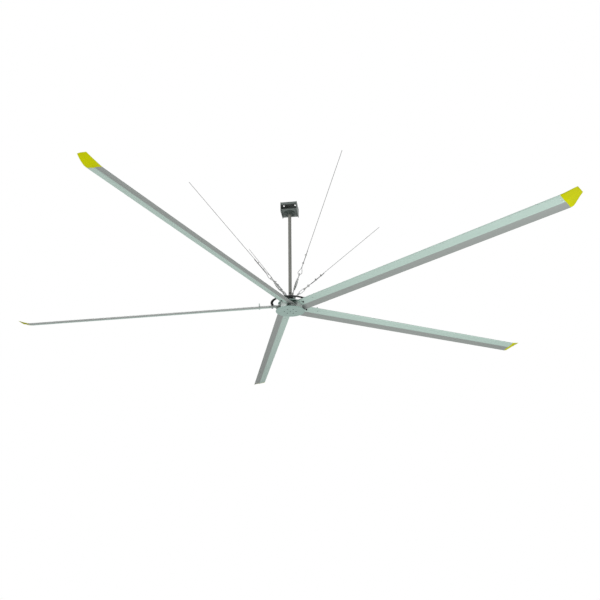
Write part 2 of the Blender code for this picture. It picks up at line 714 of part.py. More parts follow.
def cavity(shares):
    """A hollow inside the blade's skin at the given shares of the chord."""
    upper, lower = [], []
    for share in shares:
        top = outline_height(BLADE_UPPER_SHARES, share) * BLADE_CHORD - BLADE_WALL
        bottom = outline_height(BLADE_LOWER_SHARES, share) * BLADE_CHORD + BLADE_WALL
        upper.append((share * BLADE_CHORD, top))
        lower.append((share * BLADE_CHORD, bottom))
    return upper + lower[::-1]


def section_bolt_hole(radius, place, chord, low, high):
    """A cutter across the section."""
    turn = section_matrix() @ Matrix.Translation((place, chord, 0))
    return placed(bar(radius, low, high, COARSE_SIDES), turn)


def blade_bolt_holes():
    """Cutters for a blade's two bolts."""
    low, high = LOWER_OUTSIDE - OVERRUN, UPPER_OUTSIDE + OVERRUN
    return [
        section_bolt_hole(BOLT_HOLE_RADIUS, place, BLADE_BOLT_CHORD, low, high)
        for place in BLADE_BOLT_PLACES
    ]


def root_clamp_holes():
    """Cutters for the two vertical clamp bolts in a blade's root."""
    return [
        placed(
            bar(CLAMP_BOLT_HOLE, HUB_BOTTOM, HUB_TOP, COARSE_SIDES),
            Matrix.Translation((place, 0, 0)),
        )
        for place in CLAMP_BOLT_PLACES
    ]


def blade_mesh():
    """The hollow extrusion with its holes."""
    shares = BLADE_UPPER_SHARES + BLADE_LOWER_SHARES
    outline = [(x * BLADE_CHORD, y * BLADE_CHORD) for x, y in shares]
    blade = section_prism(outline, BLADE_ROOT, BLADE_END)
    start, end = BLADE_ROOT - OVERRUN, BLADE_END + OVERRUN
    channel = (
        (CHANNEL_START, CHANNEL_FLOOR), (CHANNEL_END, CHANNEL_FLOOR),
        (CHANNEL_END, CHANNEL_ROOF), (CHANNEL_START, CHANNEL_ROOF),
    )
    hollows = [section_prism(channel, start, end)]
    hollows.append(section_prism(cavity(NOSE_CAVITY_SHARES), start, end))
    hollows.append(section_prism(cavity(REAR_CAVITY_SHARES), start, end))
    blade = combined(blade, joined(hollows))
    return combined(blade, joined(blade_bolt_holes() + root_clamp_holes()))


def channel_bar(start, end):
    """A bar that fills the blade's spar channel but for a gap all round."""
    outline = (
        (CHANNEL_START + SEAT_GAP, CHANNEL_FLOOR + SEAT_GAP),
        (CHANNEL_END - SEAT_GAP, CHANNEL_FLOOR + SEAT_GAP),
        (CHANNEL_END - SEAT_GAP, CHANNEL_ROOF - SEAT_GAP),
        (CHANNEL_START + SEAT_GAP, CHANNEL_ROOF - SEAT_GAP),
    )
    return section_prism(outline, start, end)


def blade_bolt(place, seat):
    """One of a blade's two bolts, its nut at a height above the chord line."""
    end = BLADE_BOLT_TOP - seat - BOLT_NUT_HEIGHT
    spot = Matrix.Translation((place, BLADE_BOLT_CHORD, LOWER_OUTSIDE))
    return placed(hex_bolt(seat - LOWER_OUTSIDE, end), section_matrix() @ spot)


def clamp_bolt(place):
    """One of the bolts that clamp a blade's root between the discs."""
    seat = HUB_TOP + SEAT_GAP
    low = DISC_FLOOR - CLAMP_BOLT_DEPTH
    shank = bar(CLAMP_BOLT_RADIUS, low, seat + CLAMP_HEAD_HEIGHT / 2, COARSE_SIDES)
    head = hexagon(CLAMP_HEAD_FLATS, seat, seat + CLAMP_HEAD_HEIGHT)
    return placed(united([shank, head]), Matrix.Translation((place, 0, 0)))


def strut_mesh():
    """The spar tongue inside a blade's root, with the bolts that it is fixed by."""
    tongue = channel_bar(BLADE_ROOT, TONGUE_END)
    inner = section_bolt_hole(
        BOLT_HOLE_RADIUS, BLADE_BOLT_PLACES[0], BLADE_BOLT_CHORD,
        LOWER_OUTSIDE - OVERRUN, UPPER_OUTSIDE + OVERRUN,
    )
    bolts = [clamp_bolt(place) for place in CLAMP_BOLT_PLACES]
    bolts.append(blade_bolt(BLADE_BOLT_PLACES[1], UPPER_OUTSIDE))
    return united([combined(tongue, inner), *bolts])


def ring_seat():
    """How far the top of a ring's foot lies across the section from the chord line."""
    top = RING_BOTTOM + RING_THICKNESS
    drop = BLADE_NOSE_HEIGHT - math.sin(BLADE_PITCH) * BLADE_BOLT_CHORD
    return (top - drop) / math.cos(BLADE_PITCH)


def safety_ring():
    """The black ring over the blades, with a foot and a bolt through each blade."""
    top = RING_BOTTOM + RING_THICKNESS
    profile = (
        (RING_INNER, RING_BOTTOM), (RING_OUTER, RING_BOTTOM), (RING_OUTER, top), (RING_INNER, top)
    )
    place = BLADE_BOLT_PLACES[0]
    spot = section_matrix() @ Matrix.Translation((place, BLADE_BOLT_CHORD, 0))
    foot = placed(bar(RING_FOOT_RADIUS, UPPER_OUTSIDE + SEAT_GAP, ring_seat()), spot)
    stud = united([foot, blade_bolt(place, ring_seat() - SEAT_GAP * 2)])
    return combined(turned(profile, RING_SIDES), turned_copies(stud, BLADE_COUNT), "UNION")


# Winglet

def winglet_ring(station, thickness_share):
    """The winglet's outline at one station."""
    outward, nose_offset, nose_height, tail_offset, tail_height = station
    nose = Vector((BLADE_END + outward, -nose_offset, nose_height))
    tail = Vector((BLADE_END + outward, -tail_offset, tail_height))
    along = tail - nose
    across_line = Vector((0, -along.z, along.y)) * thickness_share
    shares = BLADE_UPPER_SHARES + BLADE_LOWER_SHARES
    return [nose + along * x + across_line * y for x, y in shares]


def winglet_mesh():
    """The upswept tip with its tenon for the blade's spar channel."""
    rings = [
        winglet_ring(station, share)
        for station, share in zip(WINGLET_STATIONS, WINGLET_THICKNESS_SHARES)
    ]
    overlap = BLADE_END + WINGLET_STATIONS[1][0] / 2
    return united([lofted(rings), channel_bar(BLADE_END - WINGLET_TENON, overlap)])


# Guy wires, in a guy's own frame: X along the wire from the pin, Y along the pin, Z upward

def guy_plate():
    """The plate on the shaft with four lugs for the turnbuckles."""
    plate = bar(GUY_PLATE_RADIUS, GUY_PLATE_HEIGHT, GUY_PLATE_TOP, LARGE_SIDES)
    lugs, holes = [], []
    half = LUG_THICKNESS / 2
    foot = GUY_PLATE_HEIGHT + GUY_PLATE_THICKNESS / 2
    for index in range(GUY_COUNT):
        turn = Matrix.Rotation(math.tau * index / GUY_COUNT, 4, "Z")
        top = circle(LUG_RADIUS, HEX_SIDES, (PIN_REACH, PIN_HEIGHT), 0, math.pi)
        outline = top + [(PIN_REACH - LUG_RADIUS, foot), (PIN_REACH + LUG_RADIUS, foot)]
        axes = Matrix(((1, 0, 0, 0), (0, 0, -1, 0), (0, 1, 0, 0), (0, 0, 0, 1)))
        lugs.append(placed(prism(outline, -half, half), turn @ axes))
        hole = across(PIN_HOLE, (PIN_REACH, 0, PIN_HEIGHT), half + OVERRUN, COARSE_SIDES)
        holes.append(placed(hole, turn))
    low, high = GUY_PLATE_HEIGHT - OVERRUN, GUY_PLATE_TOP + OVERRUN
    bore = bar(TUBE_INNER, low, high, MEDIUM_SIDES)
    plate = combined(combined(plate, bore), joined(lugs), "UNION")
    return combined(plate, joined(holes))


def jaw_mesh():
    """The lower screw of a turnbuckle with its forked jaw and the jaw's pin."""
    gap = LUG_THICKNESS / 2 + SEAT_GAP
    half = gap + JAW_CHEEK
    back = circle(JAW_RADIUS, HEX_SIDES, (0, 0), math.pi / 2, math.pi)
    outline = back + [(JAW_BASE, -JAW_RADIUS), (JAW_BASE, JAW_RADIUS)]
    axes = Matrix(((1, 0, 0, 0), (0, 0, -1, 0), (0, 1, 0, 0), (0, 0, 0, 1)))
    fork = placed(prism(outline, -half, half), axes)
    throat = block((-JAW_BASE, -gap, -JAW_BASE), (JAW_THROAT, gap, JAW_BASE))
    pin = across(PIN_RADIUS, (0, 0, 0), half + PIN_HEAD * 2, COARSE_SIDES)
    head = across(PIN_HEAD_RADIUS, (0, half + PIN_HEAD / 2, 0), PIN_HEAD, COARSE_SIDES)
    screw = wire_bar(SCREW_RADIUS, JAW_BASE - OVERRUN, JAW_SCREW_END)
    return united([combined(fork, throat), pin, head, screw])


def wire_bar(radius, start, end, sides=COARSE_SIDES):
    """A bar along the wire."""
    return placed(bar(radius, start, end, sides), Matrix.Rotation(math.pi / 2, 4, "Y"))


def turnbuckle_mesh():
    """The open frame that both screws run in."""
    neck, wide = FRAME_NECK_WIDTH / 2, FRAME_WIDTH / 2
    side = (
        (0, neck), (FRAME_BOSS, neck), (FRAME_SHOULDER, wide),
        (FRAME_LENGTH - FRAME_SHOULDER, wide), (FRAME_LENGTH - FRAME_BOSS, neck),
        (FRAME_LENGTH, neck),
    )
    outline = [(FRAME_START + x, z) for x, z in side]
    outline += [(x, -z) for x, z in reversed(outline)]
    inner = wide - FRAME_RAIL
    slant = SCREW_HOLE + SEAT_GAP
    window = (
        (FRAME_BOSS, slant), (FRAME_SHOULDER, inner), (FRAME_LENGTH - FRAME_SHOULDER, inner),
        (FRAME_LENGTH - FRAME_BOSS, slant),
    )
    opening = [(FRAME_START + x, z) for x, z in window]
    opening += [(x, -z) for x, z in reversed(opening)]
    half = FRAME_THICKNESS / 2
    axes = Matrix(((1, 0, 0, 0), (0, 0, -1, 0), (0, 1, 0, 0), (0, 0, 0, 1)))
    body = placed(prism(outline, -half, half), axes)
    cut = placed(prism(opening, -half - OVERRUN, half + OVERRUN), axes)
    body = combined(body, cut)
    return combined(body, wire_bar(SCREW_HOLE, FRAME_START - OVERRUN, FRAME_END + OVERRUN))


def eye_mesh():
    """The upper screw of a turnbuckle with its ring."""
    profile = [
        (EYE_RING_RADIUS + y, z) for y, z in circle(EYE_BAR_RADIUS, HEX_SIDES)
    ]
    place = Matrix.Translation((EYE_CENTRE, 0, 0)) @ Matrix.Rotation(math.pi / 2, 4, "X")
    ring = placed(turned(profile, EYE_SIDES), place)
    end = EYE_CENTRE - EYE_RING_RADIUS
    return combined(ring, wire_bar(SCREW_RADIUS, EYE_SCREW_END, end), "UNION")


def clip_mesh(place):
    """One rope clip: a U bolt round both ropes, and a saddle under its two nuts."""
    below = ROPE_ROUTE[0][2]
    reach = CLIP_BAR_SPACING
    seat = ROPE_RADIUS + SEAT_GAP
    top = seat + CLIP_SADDLE_HEIGHT
    end = top + CLIP_NUT_HEIGHT + CLIP_THREAD
    path = [(-reach, end), (-reach, below)]
    path += circle(reach, HEX_SIDES, (0, below), math.pi, math.pi)[1:-1]
    path += [(reach, below), (reach, end)]
    rings = []
    for index, (y, z) in enumerate(path):
        before, after = path[max(index - 1, 0)], path[min(index + 1, len(path) - 1)]
        along = Vector((0, after[0] - before[0], after[1] - before[1])).normalized()
        side = Vector((1, 0, 0))
        other = along.cross(side)
        around = circle(CLIP_BAR_RADIUS, HEX_SIDES)
        rings.append([Vector((place, y, z)) + side * a + other * b for a, b in around])
    half, wide = CLIP_SADDLE_LENGTH / 2, CLIP_SADDLE_WIDTH / 2
    parts = [lofted(rings), block((place - half, -wide, seat), (place + half, wide, top))]
    for side in (-1, 1):
        nut = hexagon(CLIP_NUT_FLATS, top - CLIP_SADDLE_HEIGHT / 2, top + CLIP_NUT_HEIGHT)
        spot = Matrix.Translation((place, side * CLIP_BAR_SPACING, 0))
        parts.append(placed(nut, spot))
    return united(parts)


def smooth_route(route, steps):
    """Points on a smooth curve through the route's own points."""
    points = [Vector(point) for point in route]
    ends = [points[0] * 2 - points[1], *points, points[-1] * 2 - points[-2]]
    line = []
    for index in range(1, len(ends) - 2):
        a, b, c, d = ends[index - 1: index + 3]
        for step in range(steps):
            t = step / steps
            out = (c - a) * t + (a * 2 - b * 5 + c * 4 - d) * t ** 2
            out += (b * 3 - a - c * 3 + d) * t ** 3
            line.append(b + out / 2)
    line.append(points[-1])
    return line


def rope(name, finish, parent):
    """A guy's wire rope as a tube along its route."""
    data = bpy.data.curves.new(name, "CURVE")
    data.dimensions = "3D"
    data.bevel_depth = ROPE_RADIUS
    data.bevel_resolution = 2
    data.use_fill_caps = True
    line = smooth_route(ROPE_ROUTE, ROPE_STEPS)
    spline = data.splines.new("POLY")
    spline.points.add(len(line) - 1)
    for point, place in zip(spline.points, line):
        point.co = (*place, 1)
    return node(name, data, finish, parent)


# Assembly

def build_mast(steel, bracket, dark, black):
    """The bracket, the tube and the bolts, turned with the bracket."""
    hanger = frame_at("hanger_frame", (0, 0, 0), (0, 0, HANGER_YAW))
    solid("hanger_top_plate", hanger_top_plate(), bracket, hanger)
    solid("hanger_side_plate_left", hanger_side_plate(-1), bracket, hanger)
    solid("hanger_side_plate_right", hanger_side_plate(1), bracket, hanger)
    solid("hanger_bottom_plate", hanger_bottom_plate(), bracket, hanger)
    solid("tube_flange", tube_flange(), dark, hanger)
    solid("drop_tube", drop_tube(), steel, hanger)
    solid("tube_bolt_upper", cross_bolt(BAY_FLOOR + TOP_CROSS_BOLT_RISE), black, hanger)
    solid("tube_bolt_lower", cross_bolt(LOWER_CROSS_BOLT_HEIGHT - BLADE_DROP), black, hanger)


def build_motor(black, iron, copper, steel):
    """The fixed shaft and what it carries."""
    fixed = frame_at("shaft_frame", (0, 0, -BLADE_DROP))
    solid("motor_shaft", motor_shaft(), black, fixed)
    solid("motor_stator", motor_stator(), iron, fixed)
    solid("stator_windings", stator_windings(), copper, fixed)
    solid("lower_bearing", bearing(LOWER_SEAT + SEAT_GAP), steel, fixed)
    solid("upper_bearing", bearing(UPPER_BOSS_END), steel, fixed)
    solid("shaft_nut", shaft_nut(), steel, fixed)
    solid("guy_plate", guy_plate(), black, fixed)


def build_rotor(paint, black, aluminium, yellow, iron, dark):
    """The hub, the blades and everything that turns with them."""
    rotor = frame_at("rotor_axis", (0, 0, -BLADE_DROP))
    solid("rotor_shell", rotor_shell(), aluminium, rotor)
    solid("rotor_magnets", rotor_magnets(), iron, rotor)
    solid("hub_bottom_disc", hub_bottom_disc(), paint, rotor)
    solid("hub_top_disc", hub_top_disc(), paint, rotor)
    solid("hub_plug", hub_plug(), dark, rotor)
    solid("safety_ring", safety_ring(), black, rotor)
    blade = mesh_data("blade", blade_mesh())
    strut = mesh_data("strut", strut_mesh())
    winglet = mesh_data("winglet", winglet_mesh())
    for index in range(BLADE_COUNT):
        turn = (0, 0, math.tau * index / BLADE_COUNT)
        place = frame_at(f"blade_frame_{index + 1}", (0, 0, 0), turn, rotor)
        node(f"blade_{index + 1}", blade, paint, place)
        node(f"blade_strut_{index + 1}", strut, aluminium, place)
        node(f"winglet_{index + 1}", winglet, yellow, place)


def build_guys(steel, zinc):
    """The four guys, each on an empty at its pin."""
    jaw = mesh_data("jaw", jaw_mesh())
    body = mesh_data("turnbuckle", turnbuckle_mesh())
    eye = mesh_data("eye", eye_mesh())
    clips = [mesh_data("clip", clip_mesh(place)) for place in CLIP_PLACES]
    for index in range(GUY_COUNT):
        turn = math.tau * index / GUY_COUNT
        reach = (PIN_REACH * math.cos(turn), PIN_REACH * math.sin(turn))
        spot = (*reach, PIN_HEIGHT - BLADE_DROP)
        guy = frame_at(f"guy_frame_{index + 1}", spot, (0, -GUY_ANGLE, turn))
        node(f"guy_jaw_{index + 1}", jaw, zinc, guy)
        node(f"turnbuckle_body_{index + 1}", body, zinc, guy)
        node(f"eye_screw_{index + 1}", eye, zinc, guy)
        for name, clip in zip(CLIP_NAMES, clips):
            node(f"rope_clip_{name}_{index + 1}", clip, zinc, guy)
        rope(f"guy_wire_{index + 1}", steel, guy)


def build():
    """The whole fan."""
    for old in list(bpy.data.objects):
        bpy.data.objects.remove(old)
    steel = material("tube_steel", (0.42, 0.42, 0.39), 0.45, 0.8)
    bracket = material("bracket_paint", (0.30, 0.36, 0.34), 0.5, 0.2)
    dark = material("dark_paint", (0.04, 0.06, 0.055), 0.5, 0.3)
    black = material("black_paint", (0.01, 0.01, 0.01), 0.45, 0.2)
    iron = material("lamination", (0.25, 0.25, 0.26), 0.5, 0.9)
    copper = material("copper_wire", (0.55, 0.22, 0.10), 0.4, 0.9)
    aluminium = material("raw_aluminium", (0.78, 0.80, 0.80), 0.35, 0.9)
    paint = material("anodised_blade", (0.42, 0.54, 0.50), 0.38, 0.6)
    yellow = material("winglet_yellow", (0.62, 0.66, 0.005), 0.45, 0.0)
    zinc = material("zinc_plate", (0.5, 0.5, 0.5), 0.4, 0.9)
    build_mast(steel, bracket, dark, black)
    build_motor(black, iron, copper, zinc)
    build_rotor(paint, black, aluminium, yellow, iron, dark)
    build_guys(zinc, zinc)


build()
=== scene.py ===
import math

import bpy
from mathutils import Matrix, Vector


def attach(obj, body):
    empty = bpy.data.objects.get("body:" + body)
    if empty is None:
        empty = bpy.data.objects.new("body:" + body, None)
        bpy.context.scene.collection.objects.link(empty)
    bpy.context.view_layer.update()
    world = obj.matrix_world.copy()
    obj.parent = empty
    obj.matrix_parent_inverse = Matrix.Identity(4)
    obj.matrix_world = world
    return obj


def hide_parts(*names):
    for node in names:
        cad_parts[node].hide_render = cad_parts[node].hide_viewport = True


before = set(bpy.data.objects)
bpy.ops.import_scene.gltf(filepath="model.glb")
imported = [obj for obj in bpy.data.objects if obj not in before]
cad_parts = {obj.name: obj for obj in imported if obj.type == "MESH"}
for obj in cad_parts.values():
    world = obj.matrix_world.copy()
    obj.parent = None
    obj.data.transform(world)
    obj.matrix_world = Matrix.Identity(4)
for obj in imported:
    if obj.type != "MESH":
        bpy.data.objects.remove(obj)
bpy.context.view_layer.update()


# Camera, floor and light. The camera stands low beside the fan and looks up at it, over a pale
# floor. Three soft lamps light the blades' undersides from below, three light the rest from
# above, and a bright surround fills in.

class Wire:
    """A socket in a material or the world. Arithmetic on it adds Math nodes."""

    def __init__(self, tree, socket=None):
        self.tree = tree
        self.socket = socket

    def node(self, kind, settings, values, output=0):
        """A new node: its settings, then its sockets, then the output that is wanted."""
        made = self.tree.nodes.new("ShaderNode" + kind)
        for name, value in settings.items():
            setattr(made, name, value)
        for name, value in values.items():
            if isinstance(value, Wire):
                self.tree.links.new(value.socket, made.inputs[name])
            else:
                made.inputs[name].default_value = value
        return Wire(self.tree, made.outputs[output])

    def maths(self, operation, first, second):
        return self.node("Math", {"operation": operation}, {0: first, 1: second})

    def __add__(self, other):
        return self.maths("ADD", self, other)

    def __radd__(self, other):
        return self.maths("ADD", other, self)

    def __mul__(self, other):
        return self.maths("MULTIPLY", self, other)

    def __rmul__(self, other):
        return self.maths("MULTIPLY", other, self)


scene = bpy.context.scene
scene.view_settings.view_transform = "Standard"

pan, tilt, roll = math.radians(1.542), math.radians(22.547), math.radians(0.219)
ahead = Vector((-math.sin(pan) * math.cos(tilt), math.cos(pan) * math.cos(tilt), math.sin(tilt)))
level = Vector((math.cos(pan), math.sin(pan), 0))
upward = level.cross(ahead)
right = level * math.cos(roll) + upward * math.sin(roll)
top = upward * math.cos(roll) - level * math.sin(roll)
facing = Matrix((right, top, -ahead)).transposed().to_4x4()
bpy.ops.object.camera_add()
camera = bpy.context.object
camera.name = "photo_camera"
camera.data.lens = 41.12
camera.data.shift_x = 0.0447
camera.data.clip_end = 200
turn = Matrix.Rotation(math.radians(-25.97), 4, "Z")
camera.matrix_world = Matrix.Translation((-3.4532, -7.0898, -4.6215)) @ turn @ facing
scene.camera = camera


def looked_at(tree):
    """One where a ray comes from the camera, a reflection or glass, and nothing for other light."""
    start = Wire(tree)
    seen = start.node("LightPath", {}, {}, "Is Camera Ray")
    seen = seen.maths("MAXIMUM", seen, start.node("LightPath", {}, {}, "Is Glossy Ray"))
    return seen.maths("MAXIMUM", seen, start.node("LightPath", {}, {}, "Is Transmission Ray"))


world = bpy.data.worlds.new("studio")
scene.world = world
world.use_nodes = True
world.node_tree.nodes.clear()
SURROUND = 0.25  # its strength as light, where what is seen of it has a strength of 1
strength = looked_at(world.node_tree) * (1 - SURROUND) + SURROUND
sky = strength.node("Background", {}, {"Color": (1, 1, 1, 1), "Strength": strength})
ending = world.node_tree.nodes.new("ShaderNodeOutputWorld")
world.node_tree.links.new(sky.socket, ending.inputs["Surface"])

bpy.ops.mesh.primitive_plane_add(size=90, location=(0, 0, -10.5))
floor = bpy.context.object
floor.name = "floor"
pale = bpy.data.materials.new("pale_floor")
pale.use_nodes = True
surface = pale.node_tree.nodes["Principled BSDF"]
surface.inputs["Base Color"].default_value = (0.68, 0.68, 0.67, 1)
surface.inputs["Roughness"].default_value = 0.8
surface.inputs["Emission Strength"].default_value = 0.40
pale.node_tree.links.new(looked_at(pale.node_tree).socket, surface.inputs["Emission Color"])
floor.data.materials.append(pale)

FAN_MIDDLE = Vector((0, 0, -1.2))
LAMPS = (  # place, width and power
    ((0.0, 0.0, -5.3), 10.0, 140.0),
    ((-13.7, -3.0, -4.2), 6.0, 940.0),
    ((3.5, -3.5, -4.6), 1.6, 138.0),
    ((-7.0, -6.0, 3.5), 5.0, 130.0),
    ((6.5, -5.5, 2.0), 5.0, 90.0),
    ((1.0, 7.0, 3.0), 5.0, 90.0),
)
for spot, width, power in LAMPS:
    bpy.ops.object.light_add(type="AREA", location=spot)
    lamp = bpy.context.object
    lamp.data.size = width
    lamp.data.energy = power
    lamp.visible_camera = False
    lamp.rotation_euler = (FAN_MIDDLE - Vector(spot)).to_track_quat("-Z", "Y").to_euler()


# Wire ropes of the four guys. Galvanised rope of 6 mm, six strands laid round each other, bent
# back round the turnbuckle's eye and clamped on itself by two clips. It runs taut to the beam.

GUY_REACH = 0.0594
GUY_HEIGHT = -1.3014
GUY_SLOPE = math.radians(44.3)
ROPE_ROUTE = (
    (0.600, 0.000, -0.0064), (0.538, 0.000, -0.0064), (0.484, 0.000, -0.0064),
    (0.431, 0.000, -0.0064), (0.396, -0.001, -0.0064), (0.362, -0.006, -0.0055),
    (0.334, -0.018, -0.0040), (0.312, -0.0255, -0.0025), (0.294, -0.0255, -0.0012),
    (0.285, -0.0150, -0.0003), (0.2832, 0.000, 0.0), (0.285, 0.0150, 0.0003),
    (0.294, 0.0255, 0.0010), (0.312, 0.0255, 0.0010), (0.334, 0.018, 0.0006),
    (0.362, 0.006, 0.0), (0.396, 0.001, 0.0), (0.431, 0.000, 0.0),
    (0.484, 0.000, 0.0), (0.538, 0.000, 0.0), (0.760, 0.000, 0.0),
    (1.000, 0.000, 0.0), (1.280, 0.000, 0.0), (1.570, 0.000, 0.0), (1.858, 0.000, 0.0),
)
ROPE_LAY = 0.042  # along the rope for one turn of its strands
STRAND_CIRCLE = 0.00195  # from the rope's middle to a strand's
STRAND_RADIUS = 0.00104


def guy_place(index):
    """From a guy's own frame, X along the wire and Y along its pin, to the fan's."""
    turned = Matrix.Rotation(math.tau * index / 4, 4, "Z")
    lifted = Matrix.Translation((GUY_REACH, 0, GUY_HEIGHT)) @ Matrix.Rotation(-GUY_SLOPE, 4, "Y")
    return turned @ lifted


def smooth_line(points, steps):
    """Points on one smooth curve through the given ones."""
    points = [Vector(point) for point in points]
    ends = [points[0] * 2 - points[1], *points, points[-1] * 2 - points[-2]]
    line = []
    for a, b, c, d in zip(ends, ends[1:], ends[2:], ends[3:]):
        t1 = (b - a).length ** 0.5
        t2 = t1 + (c - b).length ** 0.5
        t3 = t2 + (d - c).length ** 0.5
        for step in range(steps):
            t = t1 + (t2 - t1) * step / steps
            share = (t - t1) / (t2 - t1)
            ab = a.lerp(b, t / t1)
            bc = b.lerp(c, share)
            cd = c.lerp(d, (t - t2) / (t3 - t2))
            line.append(ab.lerp(bc, t / t2).lerp(bc.lerp(cd, (t - t1) / (t3 - t1)), share))
    return [*line, points[-1]]


def evened(line, spacing):
    """The same line with its points a steady distance apart."""
    runs = [(b - a).length for a, b in zip(line, line[1:])]
    count = round(sum(runs) / spacing)
    step = sum(runs) / count
    points, gone, index = [line[0]], 0.0, 0
    for number in range(1, count):
        while gone + runs[index] < number * step:
            gone += runs[index]
            index += 1
        points.append(line[index].lerp(line[index + 1], (number * step - gone) / runs[index]))
    return [*points, line[-1]]


def sleeve(rings):
    """A grid rolled into a closed sleeve through rings of points, with both ends filled."""
    around, along = len(rings[0]), len(rings) - 1
    bpy.ops.object.select_all(action="DESELECT")
    bpy.ops.mesh.primitive_grid_add(x_subdivisions=around, y_subdivisions=along, size=1)
    made = bpy.context.object
    for corner in made.data.vertices:
        ring = rings[round((corner.co.y + 0.5) * along)]
        corner.co = ring[round((corner.co.x + 0.5) * around) % around]
    bpy.ops.object.mode_set(mode="EDIT")
    bpy.ops.mesh.select_all(action="SELECT")
    bpy.ops.mesh.remove_doubles(threshold=0.00001)
    bpy.ops.mesh.fill_holes(sides=0)
    bpy.ops.mesh.select_all(action="SELECT")
    bpy.ops.mesh.normals_make_consistent(inside=False)
    bpy.ops.object.mode_set(mode="OBJECT")
    return made


def pick(*pieces):
    """Selects pieces, with the first one active."""
    bpy.ops.object.select_all(action="DESELECT")
    for piece in pieces:
        piece.select_set(True)
    bpy.context.view_layer.objects.active = pieces[0]


def join(parts):
    """Several objects as one."""
    pick(*parts)
    bpy.ops.object.join()
    return parts[0]


def smooth(piece, angle=35):
    """Smooth shading, with edges sharper than an angle left crisp."""
    pick(piece)
    bpy.ops.object.shade_smooth_by_angle(angle=math.radians(angle))
    return piece


def moved(piece, matrix):
    """The piece with its points moved by a matrix."""
    piece.matrix_world = matrix
    pick(piece)
    bpy.ops.object.transform_apply(location=True, rotation=True, scale=True)
    return piece


def settle(piece, place):
    """Notes each point's place on the piece itself, then puts the piece where it belongs."""
    note = piece.data.attributes.get("own_place")
    if note is None:
        note = piece.data.attributes.new("own_place", "FLOAT_VECTOR", "POINT")
        for item, corner in zip(note.data, piece.data.vertices):
            item.vector = corner.co
    return moved(piece, place)


def twin(piece):
    """A copy with its own mesh."""
    other = piece.copy()
    other.data = piece.data.copy()
    bpy.context.collection.objects.link(other)
    return other


def fit(piece, name, body, slot, finish, *nodes):
    """Names a finished piece, dresses it and says what it rides on and stands for."""
    piece.name = name
    piece.data.materials.clear()
    piece.data.materials.append(finish.made)
    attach(piece, body)
    if nodes:
        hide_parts(*nodes)


class Finish:
    """A Principled material, with the point on the piece that its pattern follows."""

    def __init__(self, name, source="Object", **constants):
        self.made = bpy.data.materials.new(name)
        self.made.use_nodes = True
        self.shader = self.made.node_tree.nodes["Principled BSDF"]
        for socket, value in constants.items():
            self.shader.inputs[socket.replace("_", " ")].default_value = value
        start = Wire(self.made.node_tree)
        if source == "Object":
            self.place = start.node("TexCoord", {}, {}, "Object")
        else:
            self.place = start.node("Attribute", {"attribute_name": source}, {}, "Vector")

    def noise(self, scale, detail=3.0, stretch=(1, 1, 1)):
        """A noise over the piece, from 0 to 1, with its scale per metre."""
        values = {0: self.place, 1: stretch}
        point = self.place.node("VectorMath", {"operation": "MULTIPLY"}, values)
        return point.node("TexNoise", {}, {"Vector": point, "Scale": scale, "Detail": detail})

    def ramp(self, wire, low, high):
        """A smooth rise from 0 at low to 1 at high."""
        values = {"Value": wire, "From Min": low, "From Max": high}
        return wire.node("MapRange", {"interpolation_type": "SMOOTHSTEP"}, values)

    def blend(self, factor, first, second):
        """A colour between two."""
        return factor.node("Mix", {"data_type": "RGBA"}, {0: factor, 6: first, 7: second}, 2)

    def wear(self, colour, roughness, height, depth):
        """Gives the shader its colour, roughness and surface."""
        links = self.made.node_tree.links
        links.new(colour.socket, self.shader.inputs["Base Color"])
        links.new(roughness.socket, self.shader.inputs["Roughness"])
        bump = height.node("Bump", {}, {"Height": height, "Distance": depth}, "Normal")
        links.new(bump.socket, self.shader.inputs["Normal"])


galvanised = Finish("galvanised_rope", "own_place", Metallic=0.5)
dull = galvanised.noise(60, 4, (0.4, 1, 1))
dust = galvanised.ramp(galvanised.noise(7), 0.5, 0.72)
tone = galvanised.blend(dull, (0.10, 0.105, 0.105, 1), (0.20, 0.205, 0.205, 1))
tone = galvanised.blend(dust * 0.5, tone, (0.17, 0.16, 0.14, 1))
galvanised.wear(tone, dull * 0.3 + 0.34, galvanised.noise(900), 0.0003)

rope_line = evened(smooth_line(ROPE_ROUTE, 12), 0.005)
strands = []
for number in range(6):
    rings = []
    side = Vector((0, 1, 0))
    gone = 0.0
    for index, point in enumerate(rope_line):
        before = rope_line[max(index - 1, 0)]
        after = rope_line[min(index + 1, len(rope_line) - 1)]
        along = (after - before).normalized()
        side = (side - along * side.dot(along)).normalized()
        over = along.cross(side)
        gone += (point - before).length
        lay = math.tau * (number / 6 + gone / ROPE_LAY)
        centre = point + (side * math.cos(lay) + over * math.sin(lay)) * STRAND_CIRCLE
        rings.append([
            centre + (side * math.cos(a) + over * math.sin(a)) * STRAND_RADIUS
            for a in (math.tau * corner / 6 + lay for corner in range(6))
        ])
    strands.append(sleeve(rings))
first_rope = smooth(join(strands), 60)
ropes = [first_rope, *(twin(first_rope) for number in range(3))]
for number, rope in enumerate(ropes):
    settle(rope, guy_place(number))
    fit(rope, f"wire_rope_{number + 1}", f"guy_{number + 1}", "wire_rope", galvanised,
        f"guy_wire_{number + 1}")


# Rope clips, two on each guy. A zinc-plated U bolt goes round both ropes, and its two nuts press
# a forged saddle on the live rope.

def block(low, high):
    """A block between two corners."""
    low, high = Vector(low), Vector(high)
    bpy.ops.object.select_all(action="DESELECT")
    bpy.ops.mesh.primitive_cube_add(size=1, location=(low + high) / 2, scale=high - low)
    bpy.ops.object.transform_apply(location=True, rotation=True, scale=True)
    return bpy.context.object


def outline(points, filled=True):
    """A closed line through points, from a circle whose corners are moved there."""
    fill = "NGON" if filled else "NOTHING"
    bpy.ops.object.select_all(action="DESELECT")
    bpy.ops.mesh.primitive_circle_add(vertices=len(points), fill_type=fill)
    made = bpy.context.object
    for corner, point in zip(made.data.vertices, points):
        corner.co = point
    return made


